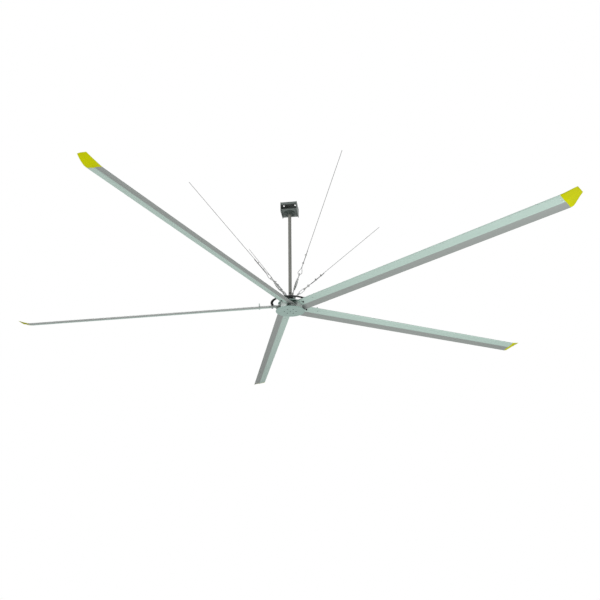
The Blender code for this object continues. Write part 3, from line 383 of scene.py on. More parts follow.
def slab(points, move):
    """A flat outline, extruded by a vector."""
    made = outline(points)
    bpy.ops.object.mode_set(mode="EDIT")
    bpy.ops.mesh.select_all(action="SELECT")
    bpy.ops.mesh.extrude_region_move(TRANSFORM_OT_translate={"value": move})
    bpy.ops.mesh.select_all(action="SELECT")
    bpy.ops.mesh.normals_make_consistent(inside=False)
    bpy.ops.object.mode_set(mode="OBJECT")
    return made


def arc(radius, centre, start, sweep, count):
    """Points on an arc in a plane, both ends included, with angles in degrees."""
    angles = [math.radians(start + sweep * step / (count - 1)) for step in range(count)]
    return [(centre[0] + radius * math.cos(a), centre[1] + radius * math.sin(a)) for a in angles]


def spun(profile, sides):
    """An outline of (radius, height) points, spun once round Z."""
    made = outline([(radius, 0, height) for radius, height in profile], False)
    bpy.ops.object.mode_set(mode="EDIT")
    bpy.ops.mesh.select_all(action="SELECT")
    bpy.ops.mesh.spin(steps=sides, angle=math.tau, center=(0, 0, 0), axis=(0, 0, 1))
    bpy.ops.mesh.select_all(action="SELECT")
    bpy.ops.mesh.remove_doubles(threshold=0.00001)
    bpy.ops.mesh.delete_loose(use_verts=True, use_edges=True, use_faces=False)
    bpy.ops.mesh.select_all(action="SELECT")
    bpy.ops.mesh.normals_make_consistent(inside=False)
    bpy.ops.object.mode_set(mode="OBJECT")
    return made


def applied(piece, kind, **settings):
    """The piece after one modifier."""
    modifier = piece.modifiers.new(kind, kind)
    for name, value in settings.items():
        setattr(modifier, name, value)
    pick(piece)
    bpy.ops.object.modifier_apply(modifier=modifier.name)
    return piece


def soften(piece, width, segments=2, angle=30):
    """The piece with its edges rounded."""
    return applied(
        piece, "BEVEL", width=width, segments=segments, limit_method="ANGLE",
        angle_limit=math.radians(angle),
    )


def cut(piece, tool, operation="DIFFERENCE"):
    """The piece after a Boolean with a tool, which is used up."""
    applied(piece, "BOOLEAN", object=tool, operation=operation, solver="EXACT")
    bpy.data.objects.remove(tool)
    return piece


def hex_shape(flats, low, high, both=False):
    """A hexagon along Z whose corners are turned off at the top, or at both ends."""
    corner = flats / 2 / math.cos(math.pi / 6)
    made = slab([(x, y, low) for x, y in arc(corner, (0, 0), 0, 300, 6)], (0, 0, high - low))
    fall = (corner - flats / 2) * 0.7
    foot = fall if both else 0.0
    profile = ((0, low), (corner * 1.02 - foot * 1.6, low), (corner * 1.02, low + foot),
               (corner * 1.02, high - fall), (corner * 1.02 - fall * 1.6, high), (0, high))
    return cut(made, spun(profile, 36), "INTERSECT")


def thread(radius, low, high, pitch, sides=20):
    """A threaded bar along Z, with a chamfer at its upper end."""
    ridges = max(1, round((high - low) / pitch))
    step = (high - low) / ridges
    depth = pitch * 0.5
    profile = [(0, low), (radius - depth, low)]
    for ridge in range(ridges):
        foot = low + ridge * step
        profile += [(radius, foot + step * 0.4), (radius, foot + step * 0.6)]
        profile.append((radius - depth, foot + step))
    profile[-2] = (radius - depth * 0.7, profile[-2][1])
    return spun(profile + [(0, high)], sides)


zinc = Finish("zinc_plate", Metallic=0.5)
bloom = zinc.noise(45, 5)
stain = zinc.ramp(zinc.noise(18, 4), 0.52, 0.70)
tone = zinc.blend(bloom, (0.33, 0.34, 0.34, 1), (0.52, 0.53, 0.52, 1))
tone = zinc.blend(stain * 0.35, tone, (0.34, 0.31, 0.26, 1))
zinc.wear(tone, bloom * 0.25 + stain * 0.2 + 0.28, zinc.noise(700, 2), 0.00015)

CLIP_PLACES = (("lower", 0.431), ("upper", 0.538))
LEG_SIDE = 0.0063  # from the rope to a leg of the U bolt
BOW_CENTRE = -0.0064  # the round bottom of the U bolt goes about the dead rope
clips = {number: [] for number in range(4)}
for name, place in CLIP_PLACES:
    leg = [(-LEG_SIDE, z) for z in (0.0178, 0.0082, 0.0002, BOW_CENTRE)]
    path = leg + arc(LEG_SIDE, (0, BOW_CENTRE), 180, 180, 13)[1:-1]
    path += [(-y, z) for y, z in reversed(leg)]
    rings = []
    for index, (y, z) in enumerate(path):
        before, after = path[max(index - 1, 0)], path[min(index + 1, len(path) - 1)]
        along = Vector((0, after[0] - before[0], after[1] - before[1])).normalized()
        over = along.cross(Vector((1, 0, 0)))
        rings.append([
            Vector((place, y, z)) + Vector((1, 0, 0)) * a + over * b
            for a, b in arc(0.0025, (0, 0), 0, 330, 12)
        ])
    bow = sleeve(rings)
    saddle = [(-0.012, 0.0034), (-0.0085, 0.0034), (-0.0035, 0.0034)]
    saddle += arc(0.0034, (0, 0), 140, -100, 7)
    saddle += [(0.0035, 0.0034), (0.012, 0.0034), (0.012, 0.0070), (0.009, 0.0083)]
    saddle += [(-0.009, 0.0083), (-0.012, 0.0070)]
    shape = slab([(place - 0.0065, y, z) for y, z in saddle], (0.013, 0, 0))
    parts = [bow, soften(shape, 0.0007)]
    for side in (-1, 1):
        shift = Matrix.Translation((place, side * LEG_SIDE, 0))
        parts.append(moved(soften(hex_shape(0.009, 0.0084, 0.0129, True), 0.0002, 1), shift))
        parts.append(moved(thread(0.00262, 0.0129, 0.0178, 0.001), shift))
    clip = smooth(join(parts))
    for number in range(4):
        copy = settle(twin(clip), guy_place(number))
        fit(copy, f"clip_{name}_{number + 1}", f"guy_{number + 1}", "zinc_plate", zinc,
            f"rope_clip_{name}_{number + 1}")
        clips[number].append(copy)
    bpy.data.objects.remove(clip)

for number, rope in enumerate(ropes):
    path = [guy_place(number) @ point for point in rope_line]


# Bracket. A box of 8 mm plate, open at the front and back: a folded top plate with two slots for
# the bolts to the beam, two side plates that end in ears, and a bottom plate, welded and painted.

yaw = Matrix.Rotation(math.radians(-33.4), 4, "Z")
BRACKET_HALF = 0.1075  # half the width and depth of the bracket
PLATE = 0.008
INSIDE = 0.0995  # half the way between the side plates
PLATE_HALF = 0.0992  # half the length of the top and bottom plates
BAY_FLOOR = -0.1047
FLANGE_BOLTS = arc(0.056, (0, 0), 45, 270, 4)

paint = Finish("bracket_paint", Metallic=0.0, Specular_IOR_Level=0.45)
cloud = paint.noise(14, 5)
scuff = paint.ramp(paint.noise(55, 6, (1, 1, 0.5)), 0.60, 0.68)
tone = paint.blend(cloud, (0.092, 0.115, 0.106, 1), (0.145, 0.170, 0.160, 1))
tone = paint.blend(scuff * 0.5, tone, (0.24, 0.25, 0.24, 1))
paint.wear(tone, cloud * 0.2 + 0.38, paint.noise(420, 2) + scuff * -0.6, 0.0002)


def fold(y_sign):
    """The rounded outer and inner corner of a fold, seen along the bracket's width."""
    outer = arc(0.009, (-0.0985, -0.009), 180, -90, 7)
    inner = arc(0.003, (-0.0985, -0.011), 90, 90, 5)
    return [(y_sign * y, z) for y, z in outer], [(y_sign * y, z) for y, z in inner]


outer_front, inner_front = fold(1)
outer_back, inner_back = fold(-1)
profile = [(-BRACKET_HALF, -0.036), *outer_front, *reversed(outer_back), (BRACKET_HALF, -0.036)]
profile += [(0.1015, -0.036), *reversed(inner_back), *inner_front, (-0.1015, -0.036)]
top_plate = slab([(-PLATE_HALF, y, z) for y, z in profile], (PLATE_HALF * 2, 0, 0))
for side in (-1, 1):
    slot = arc(0.009, (side * 0.074, 0.004), 0, 180, 17)
    slot += arc(0.009, (side * 0.074, -0.022), 180, 180, 17)
    cut(top_plate, slab([(x, y, -0.012) for x, y in slot], (0, 0, 0.016)))
soften(top_plate, 0.0010)
fit(settle(smooth(top_plate), yaw), "top_plate", "mast", "bracket_paint", paint, "hanger_top_plate")

for name, side in (("left", -1), ("right", 1)):
    x = INSIDE if side > 0 else -BRACKET_HALF
    corners = [(-BRACKET_HALF, 0), (BRACKET_HALF, 0)] + arc(0.010, (0.0975, -0.1204), 0, -90, 7)
    corners += arc(0.010, (-0.0975, -0.1204), -90, -90, 7)
    plate = soften(slab([(x, y, z) for y, z in corners], (PLATE, 0, 0)), 0.0012)
    fit(settle(smooth(plate), yaw), f"side_plate_{name}", "mast", "bracket_paint", paint,
        f"hanger_side_plate_{name}")

low = (-PLATE_HALF, -BRACKET_HALF, BAY_FLOOR - PLATE)
bottom_plate = block(low, (PLATE_HALF, BRACKET_HALF, BAY_FLOOR))
cut(bottom_plate, spun(((0, -0.12), (0.0215, -0.12), (0.0215, -0.1), (0, -0.1)), 64))
soften(bottom_plate, 0.0010)
fit(settle(smooth(bottom_plate), yaw), "bottom_plate", "mast", "bracket_paint", paint,
    "hanger_bottom_plate")

beads = []
for side in (-1, 1):
    for height, way in ((-0.0080, -1), (BAY_FLOOR, 1)):
        rings = []
        for step in range(81):
            y = -0.098 + 0.196 * step / 80
            swell = 0.0034 + 0.0005 * math.sin(step * 1.9) + 0.0003 * math.sin(step * 0.7 + side)
            rings.append([
                Vector((side * (INSIDE - swell * across), y, height + way * swell * up))
                for across, up in ((0, 0), (1.0, 0), (0.72, 0.42), (0.42, 0.72), (0, 1.0))
            ])
        beads.append(sleeve(rings))
fit(settle(smooth(join(beads), 60), yaw), "bracket_welds", "mast", "bracket_paint", paint)


# Flange of the drop tube. A dark turned steel ring with a collar, welded to the tube and held
# under the bracket by four M12 bolts with washers.

def hex_bolt(radius, flats, head, grip, nut, end):
    """A hexagon bolt along Z with washers and a nut: the head hangs under height 0."""
    washer = 0.0016
    parts = [moved(hex_shape(flats, washer, washer + head), Matrix.Rotation(math.pi, 4, "X"))]
    profile = ((radius, 0), (flats * 0.62, 0), (flats * 0.62, washer), (radius, washer))
    parts.append(moved(soften(spun(profile, 32), 0.0003, 1), Matrix.Rotation(math.pi, 4, "X")))
    parts.append(moved(soften(spun(profile, 32), 0.0003, 1), Matrix.Translation((0, 0, grip))))
    low = grip + washer
    parts.append(hex_shape(flats, low, low + nut - washer, True))
    top, shank = grip + nut - 0.001, radius * 0.97
    parts.append(spun(((0, 0), (shank, 0), (shank, top), (0, top)), 20))
    if end > 0.001:
        parts.append(thread(radius, top, grip + nut + end, radius * 0.29))
    return smooth(join(parts))


dark = Finish("dark_paint", Metallic=0.0, Specular_IOR_Level=0.5)
cloud = dark.noise(30, 4)
tone = dark.blend(cloud, (0.022, 0.034, 0.030, 1), (0.060, 0.078, 0.070, 1))
dark.wear(tone, cloud * 0.25 + 0.34, dark.noise(500, 2), 0.0002)

black = Finish("black_coat", Metallic=0.0, Specular_IOR_Level=0.4)
cloud = black.noise(20, 5)
rub = black.ramp(black.noise(75, 6), 0.63, 0.72)
tone = black.blend(cloud, (0.008, 0.008, 0.009, 1), (0.020, 0.020, 0.021, 1))
tone = black.blend(rub * 0.4, tone, (0.10, 0.10, 0.10, 1))
black.wear(tone, cloud * 0.2 + 0.42, black.noise(650, 2), 0.00025)

profile = [(0.0215, -0.1130), (0.0745, -0.1130), (0.0750, -0.1136), (0.0750, -0.1222)]
profile += [(0.0742, -0.1230), (0.0415, -0.1230), (0.0376, -0.1243), (0.0360, -0.1266)]
profile += [(0.0355, -0.1290), (0.0355, -0.1360), (0.0345, -0.1370), (0.0245, -0.1370)]
profile += [(0.0228, -0.1364), (0.0215, -0.1364)]
flange = smooth(spun(profile, 96))
fit(settle(flange, yaw), "tube_flange_ring", "mast", "dark_paint", dark, "tube_flange")

flange_bolt = hex_bolt(0.006, 0.018, 0.0075, 0.0186, 0.010, 0.003)
for number, (x, y) in enumerate(FLANGE_BOLTS):
    copy = settle(twin(flange_bolt), yaw @ Matrix.Translation((x, y, -0.1233)))
    fit(copy, f"flange_bolt_{number + 1}", "mast", "dark_paint", dark)
bpy.data.objects.remove(flange_bolt)


# Drop tube. Painted steel pipe of 42.4 mm, through the bracket's bottom plate and down to the
# motor. A black M12 bolt crosses it at each end.

tube_paint = Finish("tube_paint", Metallic=0.15, Specular_IOR_Level=0.5)
cloud = tube_paint.noise(9, 5, (1, 1, 0.25))
streak = tube_paint.ramp(tube_paint.noise(60, 4, (1, 1, 0.05)), 0.55, 0.75)
tone = tube_paint.blend(cloud, (0.150, 0.153, 0.136, 1), (0.205, 0.209, 0.188, 1))
tone = tube_paint.blend(streak * 0.3, tone, (0.27, 0.27, 0.25, 1))
tube_paint.wear(tone, cloud * 0.15 + 0.36, tube_paint.noise(380, 2), 0.0002)

TUBE_RADIUS = 0.0212
CROSS_BOLTS = (("upper", -0.0917), ("lower", -1.2615))
profile = [(0.0180, -1.3152), (0.0208, -1.3152), (TUBE_RADIUS, -1.3148), (TUBE_RADIUS, -0.0771)]
profile += [(0.0208, -0.0767), (0.0180, -0.0767)]
pipe = spun(profile, 72)
for name, height in CROSS_BOLTS:
    hole = spun(((0, -0.03), (0.0065, -0.03), (0.0065, 0.03), (0, 0.03)), 24)
    across = Matrix.Translation((0, 0, height)) @ Matrix.Rotation(math.pi / 2, 4, "X")
    cut(pipe, moved(hole, across))
fit(settle(smooth(pipe), yaw), "drop_pipe", "mast", "tube_steel", tube_paint, "drop_tube")

cross_bolt = hex_bolt(0.006, 0.018, 0.0075, TUBE_RADIUS * 2, 0.010, 0.003)
for name, height in CROSS_BOLTS:
    place = Matrix.Translation((0, -TUBE_RADIUS, height)) @ Matrix.Rotation(-math.pi / 2, 4, "X")
    copy = settle(twin(cross_bolt), yaw @ place)
    fit(copy, f"cross_bolt_{name}", "mast", "black_paint", black, f"tube_bolt_{name}")
bpy.data.objects.remove(cross_bolt)


# Motor shaft and guy plate. The hollow black shaft does not turn: its flange lies under the guy
# plate and its spigot goes up into the tube. The plate has four welded lugs for the guys.

HUB_HEIGHT = -1.4415
hub_level = Matrix.Translation((0, 0, HUB_HEIGHT))
LUG_RADIUS = 0.0095
profile = [(0.009, -0.0505), (0.0245, -0.0505), (0.025, -0.0500), (0.025, -0.0239), (0.028, -0.0239)]
profile += [(0.028, 0.0137), (0.025, 0.0137), (0.025, 0.1010), (0.0262, 0.1055), (0.0295, 0.1077)]
profile += [(0.0352, 0.1077), (0.036, 0.1085), (0.036, 0.1190), (0.0353, 0.1197), (0.0177, 0.1197)]
profile += [(0.0177, 0.2050), (0.0167, 0.2060), (0.009, 0.2060)]
fit(settle(smooth(spun(profile, 64)), hub_level), "fixed_shaft", "mast", "black_paint", black,
    "motor_shaft")

profile = [(0.018, 0.120), (0.0692, 0.120), (0.070, 0.1208), (0.070, 0.1252)]
profile += [(0.0692, 0.126), (0.018, 0.126)]
guy_disc = spun(profile, 96)
pin_height = GUY_HEIGHT - HUB_HEIGHT
for index in range(4):
    edge = arc(LUG_RADIUS, (GUY_REACH, pin_height), 0, 180, 17)
    edge += [(GUY_REACH - LUG_RADIUS, 0.123), (GUY_REACH + LUG_RADIUS, 0.123)]
    lug = slab([(x, -0.004, z) for x, z in edge], (0, 0.008, 0))
    place = Matrix.Translation((GUY_REACH, 0, pin_height)) @ Matrix.Rotation(math.pi / 2, 4, "X")
    hole = moved(spun(((0, -0.01), (0.0054, -0.01), (0.0054, 0.01), (0, 0.01)), 24), place)
    lug = moved(soften(cut(lug, hole), 0.0006), Matrix.Rotation(math.tau * index / 4, 4, "Z"))
    cut(guy_disc, lug, "UNION")
fit(settle(smooth(guy_disc), hub_level), "guy_disc", "mast", "zinc_plate", zinc, "guy_plate")


# Motor parts inside the hub: the laminated stator with its potted windings, two bearings and the
# ring nut on the shaft, and the ring magnet in the turning shell.

def dress(name, finish):
    """Gives a part of the motor its finish."""
    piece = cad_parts[name]
    piece.data.materials.clear()
    piece.data.materials.append(finish.made)


laminated = Finish("laminated_steel", Metallic=0.9)
layers = laminated.ramp(laminated.noise(40, 2, (0.02, 0.02, 50)), 0.35, 0.65)
tone = laminated.blend(layers, (0.16, 0.16, 0.17, 1), (0.34, 0.34, 0.35, 1))
laminated.wear(tone, layers * 0.2 + 0.35, layers, 0.0002)

copper = Finish("enamelled_copper", Metallic=0.85)
turns = copper.ramp(copper.noise(30, 2, (0.3, 0.3, 30)), 0.35, 0.65)
tone = copper.blend(turns, (0.30, 0.10, 0.04, 1), (0.62, 0.27, 0.12, 1))
copper.wear(tone, turns * 0.2 + 0.30, turns, 0.0004)

for name in ("motor_stator", "rotor_magnets"):
    dress(name, laminated)
dress("stator_windings", copper)
for name in ("lower_bearing", "upper_bearing", "shaft_nut"):
    dress(name, zinc)


# Hub. A spool of two discs on the turned shell of the motor, anodised a pale grey-green like the
# blades. Raw aluminium seats hold the blades' roots between the discs. The closed bottom disc has
# six screws and a plug in its middle.

shell_metal = Finish("turned_aluminium", Metallic=0.2)
ripple = shell_metal.noise(60, 3, (0.06, 0.06, 14))
patch = shell_metal.noise(25, 4)
tone = shell_metal.blend(ripple * 0.6 + patch * 0.4, (0.80, 0.83, 0.82, 1), (0.92, 0.94, 0.93, 1))
shell_metal.wear(tone, ripple * 0.2 + patch * 0.15 + 0.26, ripple, 0.00015)

profile = [(0.0583, -0.0517), (0.0945, -0.0517), (0.095, -0.0512), (0.095, 0.0402)]
profile += [(0.0945, 0.0407), (0.088, 0.0407), (0.088, -0.0437), (0.0583, -0.0437)]
shell = settle(smooth(spun(profile, 128)), hub_level)
fit(shell, "motor_shell", "rotor", "raw_aluminium", shell_metal, "rotor_shell")

disc_metal = Finish("anodised_disc", Metallic=0.2, Specular_IOR_Level=0.5)
cloud = disc_metal.noise(11, 5)
speck = disc_metal.ramp(disc_metal.noise(180, 3), 0.62, 0.75)
tone = disc_metal.blend(cloud, (0.262, 0.385, 0.342, 1), (0.330, 0.450, 0.408, 1))
tone = disc_metal.blend(speck * 0.3, tone, (0.24, 0.30, 0.28, 1))
disc_metal.wear(tone, cloud * 0.15 + 0.30, disc_metal.noise(450, 2), 0.00012)

faced = Finish("faced_aluminium", Metallic=0.3)
strokes = faced.noise(40, 3, (1, 1, 18))
tone = faced.blend(strokes, (0.38, 0.42, 0.40, 1), (0.50, 0.54, 0.52, 1))
faced.wear(tone, strokes * 0.2 + 0.32, strokes, 0.0001)

PITCH = math.radians(17)
NOSE = (-0.047, 0.026)  # a blade's nose, across the blade and in height
BLADE_ROOT = 0.098
DISC_FLOOR = -0.0520
DISC_ROOF = 0.0410
SEAT_TAIL = 0.040  # a seat's edge toward the blade's tail
LOWER_FACE = -0.00612  # the blade's underside at its bolts, from the chord line
UPPER_FACE = 0.02375
SEAT_GAP = 0.0003
DISC_SCREWS = arc(0.072, (0, 0), -26, 300, 6)


def seats(nose, end, level, across):
    """Five pitched blocks, one under or over each blade's root."""
    edge = NOSE[1] + across / math.cos(PITCH)
    face = [(y, edge - math.tan(PITCH) * (y - NOSE[0])) for y in (nose, SEAT_TAIL)]
    corners = [(BLADE_ROOT, y, z) for y, z in (*face, (SEAT_TAIL, level), (nose, level))]
    first = soften(slab(corners, (end - BLADE_ROOT, 0, 0)), 0.0012)
    turns = [Matrix.Rotation(math.tau * index / 5, 4, "Z") for index in range(5)]
    blocks = [moved(twin(first), turn) for turn in turns]
    bpy.data.objects.remove(first)
    return join(blocks)


profile = [(0, -0.060), (0.1788, -0.060), (0.180, -0.0588), (0.180, -0.0530), (0.1790, DISC_FLOOR)]
profile += [(0.058, DISC_FLOOR), (0.058, -0.0245), (0.0575, -0.0240), (0.0453, -0.0240)]
profile += [(0.0453, -0.0415), (0.038, -0.0415), (0.038, DISC_FLOOR), (0, DISC_FLOOR)]
bottom = spun(profile, 160)
for x, y in DISC_SCREWS:
    hole = spun(((0, -0.0620), (0.0088, -0.0620), (0.0088, -0.0588), (0, -0.0588)), 24)
    cut(bottom, moved(hole, Matrix.Translation((x, y, 0))))
fit(settle(smooth(bottom), hub_level), "bottom_disc", "rotor", "anodised_blade", disc_metal,
    "hub_bottom_disc")
lower_seats = seats(-0.040, 0.170, DISC_FLOOR, LOWER_FACE - SEAT_GAP)
fit(settle(smooth(lower_seats), hub_level), "lower_seats", "rotor", "raw_aluminium", faced)

profile = [(0.038, 0.0490), (0.038, 0.0313), (0.0453, 0.0313), (0.0453, 0.0140), (0.058, 0.0140)]
profile += [(0.058, DISC_ROOF), (0.1510, DISC_ROOF), (0.152, 0.0420), (0.152, 0.0480)]
profile.append((0.151, 0.0490))
fit(settle(smooth(spun(profile, 160)), hub_level), "top_disc", "rotor", "anodised_blade",
    disc_metal, "hub_top_disc")
upper_seats = seats(-0.026, 0.142, DISC_ROOF, UPPER_FACE)
fit(settle(smooth(upper_seats), hub_level), "upper_seats", "rotor", "raw_aluminium", faced)

profile = [(0, -0.0633), (0.0045, -0.0633), (0.0060, -0.0626), (0.0065, -0.0612)]
profile += [(0.0065, -0.0603), (0.004, -0.0603), (0.004, -0.055), (0, -0.055)]
plug = settle(smooth(spun(profile, 32)), hub_level)
fit(plug, "centre_plug", "rotor", "dark_paint", dark, "hub_plug")

profile = [(0, -0.0592), (0.0032, -0.0592), (0.0038, -0.0608), (0.0068, -0.0608)]
profile += [(0.0083, -0.0602), (0.0086, -0.0594), (0.0086, -0.0590), (0, -0.0590)]
screw = spun(profile, 24)
for number, (x, y) in enumerate(DISC_SCREWS):
    copy = settle(smooth(twin(screw)), hub_level @ Matrix.Translation((x, y, 0)))
    fit(copy, f"disc_screw_{number + 1}", "rotor", "black_paint", black)
bpy.data.objects.remove(screw)


# Blade struts. A milled aluminium bar lies in each blade's spar channel. Two bolts clamp it with
# the blade between the discs, and two cross it further out.

BLADE_PLACES = [hub_level @ Matrix.Rotation(math.tau * index / 5, 4, "Z") for index in range(5)]
SECTION = Matrix.Translation((0, *NOSE)) @ Matrix.Rotation(-PITCH, 4, "X")
BAR_LOW = (0.0213, -0.0017)  # the bar's corners, along and across the chord
BAR_HIGH = (0.0897, 0.0149)
BOLT_CHORD = 0.052

milled = Finish("milled_aluminium", "own_place", Metallic=0.95)
lines = milled.noise(300, 2, (0.04, 1, 1))
tone = milled.blend(lines, (0.60, 0.62, 0.62, 1), (0.80, 0.82, 0.81, 1))
milled.wear(tone, lines * 0.2 + 0.25, lines, 0.0001)

plated = Finish("bright_plate", Metallic=0.3)
bloom = plated.noise(60, 4)
tone = plated.blend(bloom, (0.42, 0.50, 0.47, 1), (0.56, 0.64, 0.61, 1))
plated.wear(tone, bloom * 0.2 + 0.25, plated.noise(600, 2), 0.0001)

bar = soften(block((BLADE_ROOT, *BAR_LOW), (0.430, *BAR_HIGH)), 0.0015)
moved(smooth(bar), SECTION)
clamp_bolt = hex_bolt(0.005, 0.015, 0.006, 0.0930, 0.002, 0)
moved(clamp_bolt, Matrix.Translation((0, 0, 0.0493)) @ Matrix.Rotation(math.pi, 4, "X"))
blade_bolt = hex_bolt(0.006, 0.018, 0.0075, 0.02957, 0.010, 0.0275)
moved(blade_bolt, Matrix.Translation((0, 0, LOWER_FACE)))
for number, place in enumerate(BLADE_PLACES):
    body = settle(twin(bar), place)
    fit(body, f"strut_{number + 1}", "rotor", "raw_aluminium", milled, f"blade_strut_{number + 1}")
    for name, reach in (("inner", 0.112), ("outer", 0.138)):
        bolt = settle(twin(clamp_bolt), place @ Matrix.Translation((reach, 0, 0)))
        fit(bolt, f"clamp_bolt_{name}_{number + 1}", "rotor", "black_paint", black)
    bolt = settle(twin(blade_bolt), place @ SECTION @ Matrix.Translation((0.390, BOLT_CHORD, 0)))
    fit(bolt, f"blade_bolt_{number + 1}", "rotor", "zinc_plate", plated)
for spare in (bar, clamp_bolt, blade_bolt):
    bpy.data.objects.remove(spare)


# Blades. Hollow aluminium extrusions 3.4 m long, anodised a pale grey-green, with a square spar
# channel. The die leaves fine lines along them. Their rear half is painted a darker grey as shade.

BLADE_END = 3.510
CHORD = 0.1914
WALL = 0.0022
UPPER = (  # the section's upper line, in shares of the chord
    (1.0, 0.006), (0.93, 0.020), (0.80, 0.044), (0.66, 0.072), (0.52, 0.098), (0.40, 0.114),
    (0.30, 0.1225), (0.21, 0.119), (0.13, 0.104), (0.07, 0.081), (0.03, 0.052), (0.008, 0.024),
)
LOWER = (
    (0.0, 0.0), (0.008, -0.016), (0.03, -0.027), (0.08, -0.032), (0.28, -0.032), (0.48, -0.032),
    (0.54, -0.014), (0.64, 0.002), (0.80, 0.009), (0.93, 0.002), (1.0, -0.006),
)
section = smooth_line([(x, y, 0) for x, y in UPPER + LOWER], 3)
section_line = [(point.x, point.y) for point in section]

anodised = Finish("anodised_extrusion", "own_place", Metallic=0.15, Specular_IOR_Level=0.5)
die_lines = anodised.noise(260, 3, (0.004, 1, 1))
cloud = anodised.noise(3.5, 5, (0.35, 1, 1))
mark = anodised.ramp(anodised.noise(40, 5, (0.3, 1, 1)), 0.64, 0.74)
streaks = cloud * 0.6 + die_lines * 0.4
tone = anodised.blend(streaks, (0.375, 0.495, 0.445, 1), (0.460, 0.585, 0.530, 1))
# Painted shade: behind the crease, the rear half of the section is coloured a darker neutral grey,
# which stands in for the shade and the darker reflection that part takes.
tailward = anodised.place.node("SeparateXYZ", {}, {0: anodised.place}, "Y")
rear_painted_shade = anodised.ramp(tailward, 0.042, 0.056)
tone = anodised.blend(rear_painted_shade, tone, (0.262, 0.285, 0.272, 1))
tone = anodised.blend(mark * 0.25, tone, (0.26, 0.32, 0.30, 1))
anodised.wear(tone, die_lines * 0.10 + cloud * 0.10 + 0.42, die_lines, 0.00003)


def along_blade(points, start, end):
    """A prism along the blade from points given along and across its chord."""
    return slab([(start, y, z) for y, z in points], (end - start, 0, 0))


def line_height(shares, place):
    """The height of the section's upper or lower line at a share of the chord."""
    ordered = sorted(shares)
    for (x0, y0), (x1, y1) in zip(ordered, ordered[1:]):
        if x0 <= place <= x1:
            return y0 + (y1 - y0) * (place - x0) / (x1 - x0)
    return ordered[-1][1]


blade = along_blade([(x * CHORD, y * CHORD) for x, y in section_line], BLADE_ROOT, BLADE_END)
channel = [(0.021, -0.002), (0.090, -0.002), (0.090, 0.0152), (0.021, 0.0152)]
hollows = [channel]
for shares in ((0.035, 0.055, 0.088), (0.50, 0.60, 0.70, 0.80)):
    roof = [(share * CHORD, line_height(UPPER, share) * CHORD - WALL) for share in shares]
    base = [(share * CHORD, line_height(LOWER, share) * CHORD + WALL) for share in shares]
    hollows.append(roof + base[::-1])
for hollow in hollows:
    cut(blade, along_blade(hollow, BLADE_ROOT - 0.004, BLADE_END + 0.004))
smooth(moved(blade, SECTION), 28)
for number, place in enumerate(BLADE_PLACES):
    copy = settle(twin(blade), place)
    fit(copy, f"blade_skin_{number + 1}", "rotor", "anodised_blade", anodised,
        f"blade_{number + 1}")
bpy.data.objects.remove(blade)


# Winglets. Moulded yellow tips, swept up and back, each with a tenon in the blade's spar channel
# and two screws through the blade's underside.

STATIONS = (  # outward, the nose's offset and height, the tail's, and the share of thickness
    (0.0003, 0.047, 0.026, -0.136, -0.030, 1.0),
    (0.030, 0.046, 0.028, -0.134, -0.024, 0.96),
    (0.062, 0.041, 0.035, -0.122, -0.006, 0.80),
    (0.104, 0.030, 0.047, -0.104, 0.020, 0.62),
    (0.148, 0.014, 0.061, -0.088, 0.046, 0.45),
)
yellow = Finish("yellow_plastic", "own_place", Metallic=0.0, Specular_IOR_Level=0.03)
cloud = yellow.noise(8, 4)
fade = yellow.ramp(yellow.noise(30, 5), 0.58, 0.75)
tone = yellow.blend(cloud, (0.505, 0.530, 0.001, 1), (0.585, 0.610, 0.002, 1))
tone = yellow.blend(fade * 0.25, tone, (0.46, 0.47, 0.01, 1))
yellow.wear(tone, cloud * 0.15 + 0.45, yellow.noise(520, 2), 0.00005)

columns = []
for share, height in section_line:
    knots = []
    for out, nose_y, nose_z, tail_y, tail_z, thick in STATIONS:
        nose = Vector((BLADE_END + out, -nose_y, nose_z))
        chord = Vector((0, nose_y - tail_y, tail_z - nose_z))
        knots.append(nose + chord * share + Vector((0, -chord.z, chord.y)) * (thick * height))
    columns.append(smooth_line(knots, 5))
rings = [list(ring) for ring in zip(*columns)]
tip = soften(sleeve(rings), 0.0012, 3, 50)
tenon = moved(block((BLADE_END - 0.040, *BAR_LOW), (BLADE_END + 0.010, *BAR_HIGH)), SECTION)
cut(tip, tenon, "UNION")
smooth(tip, 30)
profile = [(0, -0.0016), (0.0016, -0.0016), (0.0022, -0.0026), (0.0042, -0.0018)]
profile += [(0.0048, -0.0004), (0.0048, 0.0012), (0, 0.0012)]
head = spun(profile, 20)
for number, place in enumerate(BLADE_PLACES):
    copy = settle(twin(tip), place)
    fit(copy, f"tip_{number + 1}", "rotor", "winglet_yellow", yellow, f"winglet_{number + 1}")
    for name, chord in (("front", 0.038), ("rear", 0.074)):
        spot = place @ SECTION @ Matrix.Translation((BLADE_END - 0.018, chord, LOWER_FACE))
        screw = settle(smooth(twin(head)), spot)
        fit(screw, f"tip_screw_{name}_{number + 1}", "rotor", "zinc_plate", zinc)
bpy.data.objects.remove(tip)
bpy.data.objects.remove(head)


# Safety ring. A black steel ring over the blades' roots that would hold them if a root broke. It
# stands on a foot on each blade, with a long bolt through both.

RING_PLACE = 0.227  # the ring's bolts, along the blades
RING_TOP = 0.057
profile = [(0.214, 0.048), (0.244, 0.048), (0.245, 0.049), (0.245, 0.056), (0.244, RING_TOP)]
profile += [(0.214, RING_TOP), (0.213, 0.056), (0.213, 0.049)]
ring = spun(profile, 160)
fit(settle(smooth(ring), hub_level), "safety_hoop", "rotor", "black_paint", black, "safety_ring")
seat = (RING_TOP - NOSE[1] + math.sin(PITCH) * BOLT_CHORD) / math.cos(PITCH)
foot = spun(((0.006, UPPER_FACE), (0.013, UPPER_FACE), (0.013, seat), (0.006, seat)), 40)
smooth(soften(foot, 0.0008))
for number, place in enumerate(BLADE_PLACES):
    spot = place @ SECTION @ Matrix.Translation((RING_PLACE, BOLT_CHORD, 0))
    fit(settle(twin(foot), spot), f"ring_foot_{number + 1}", "rotor", "black_paint", black)
bpy.data.objects.remove(foot)
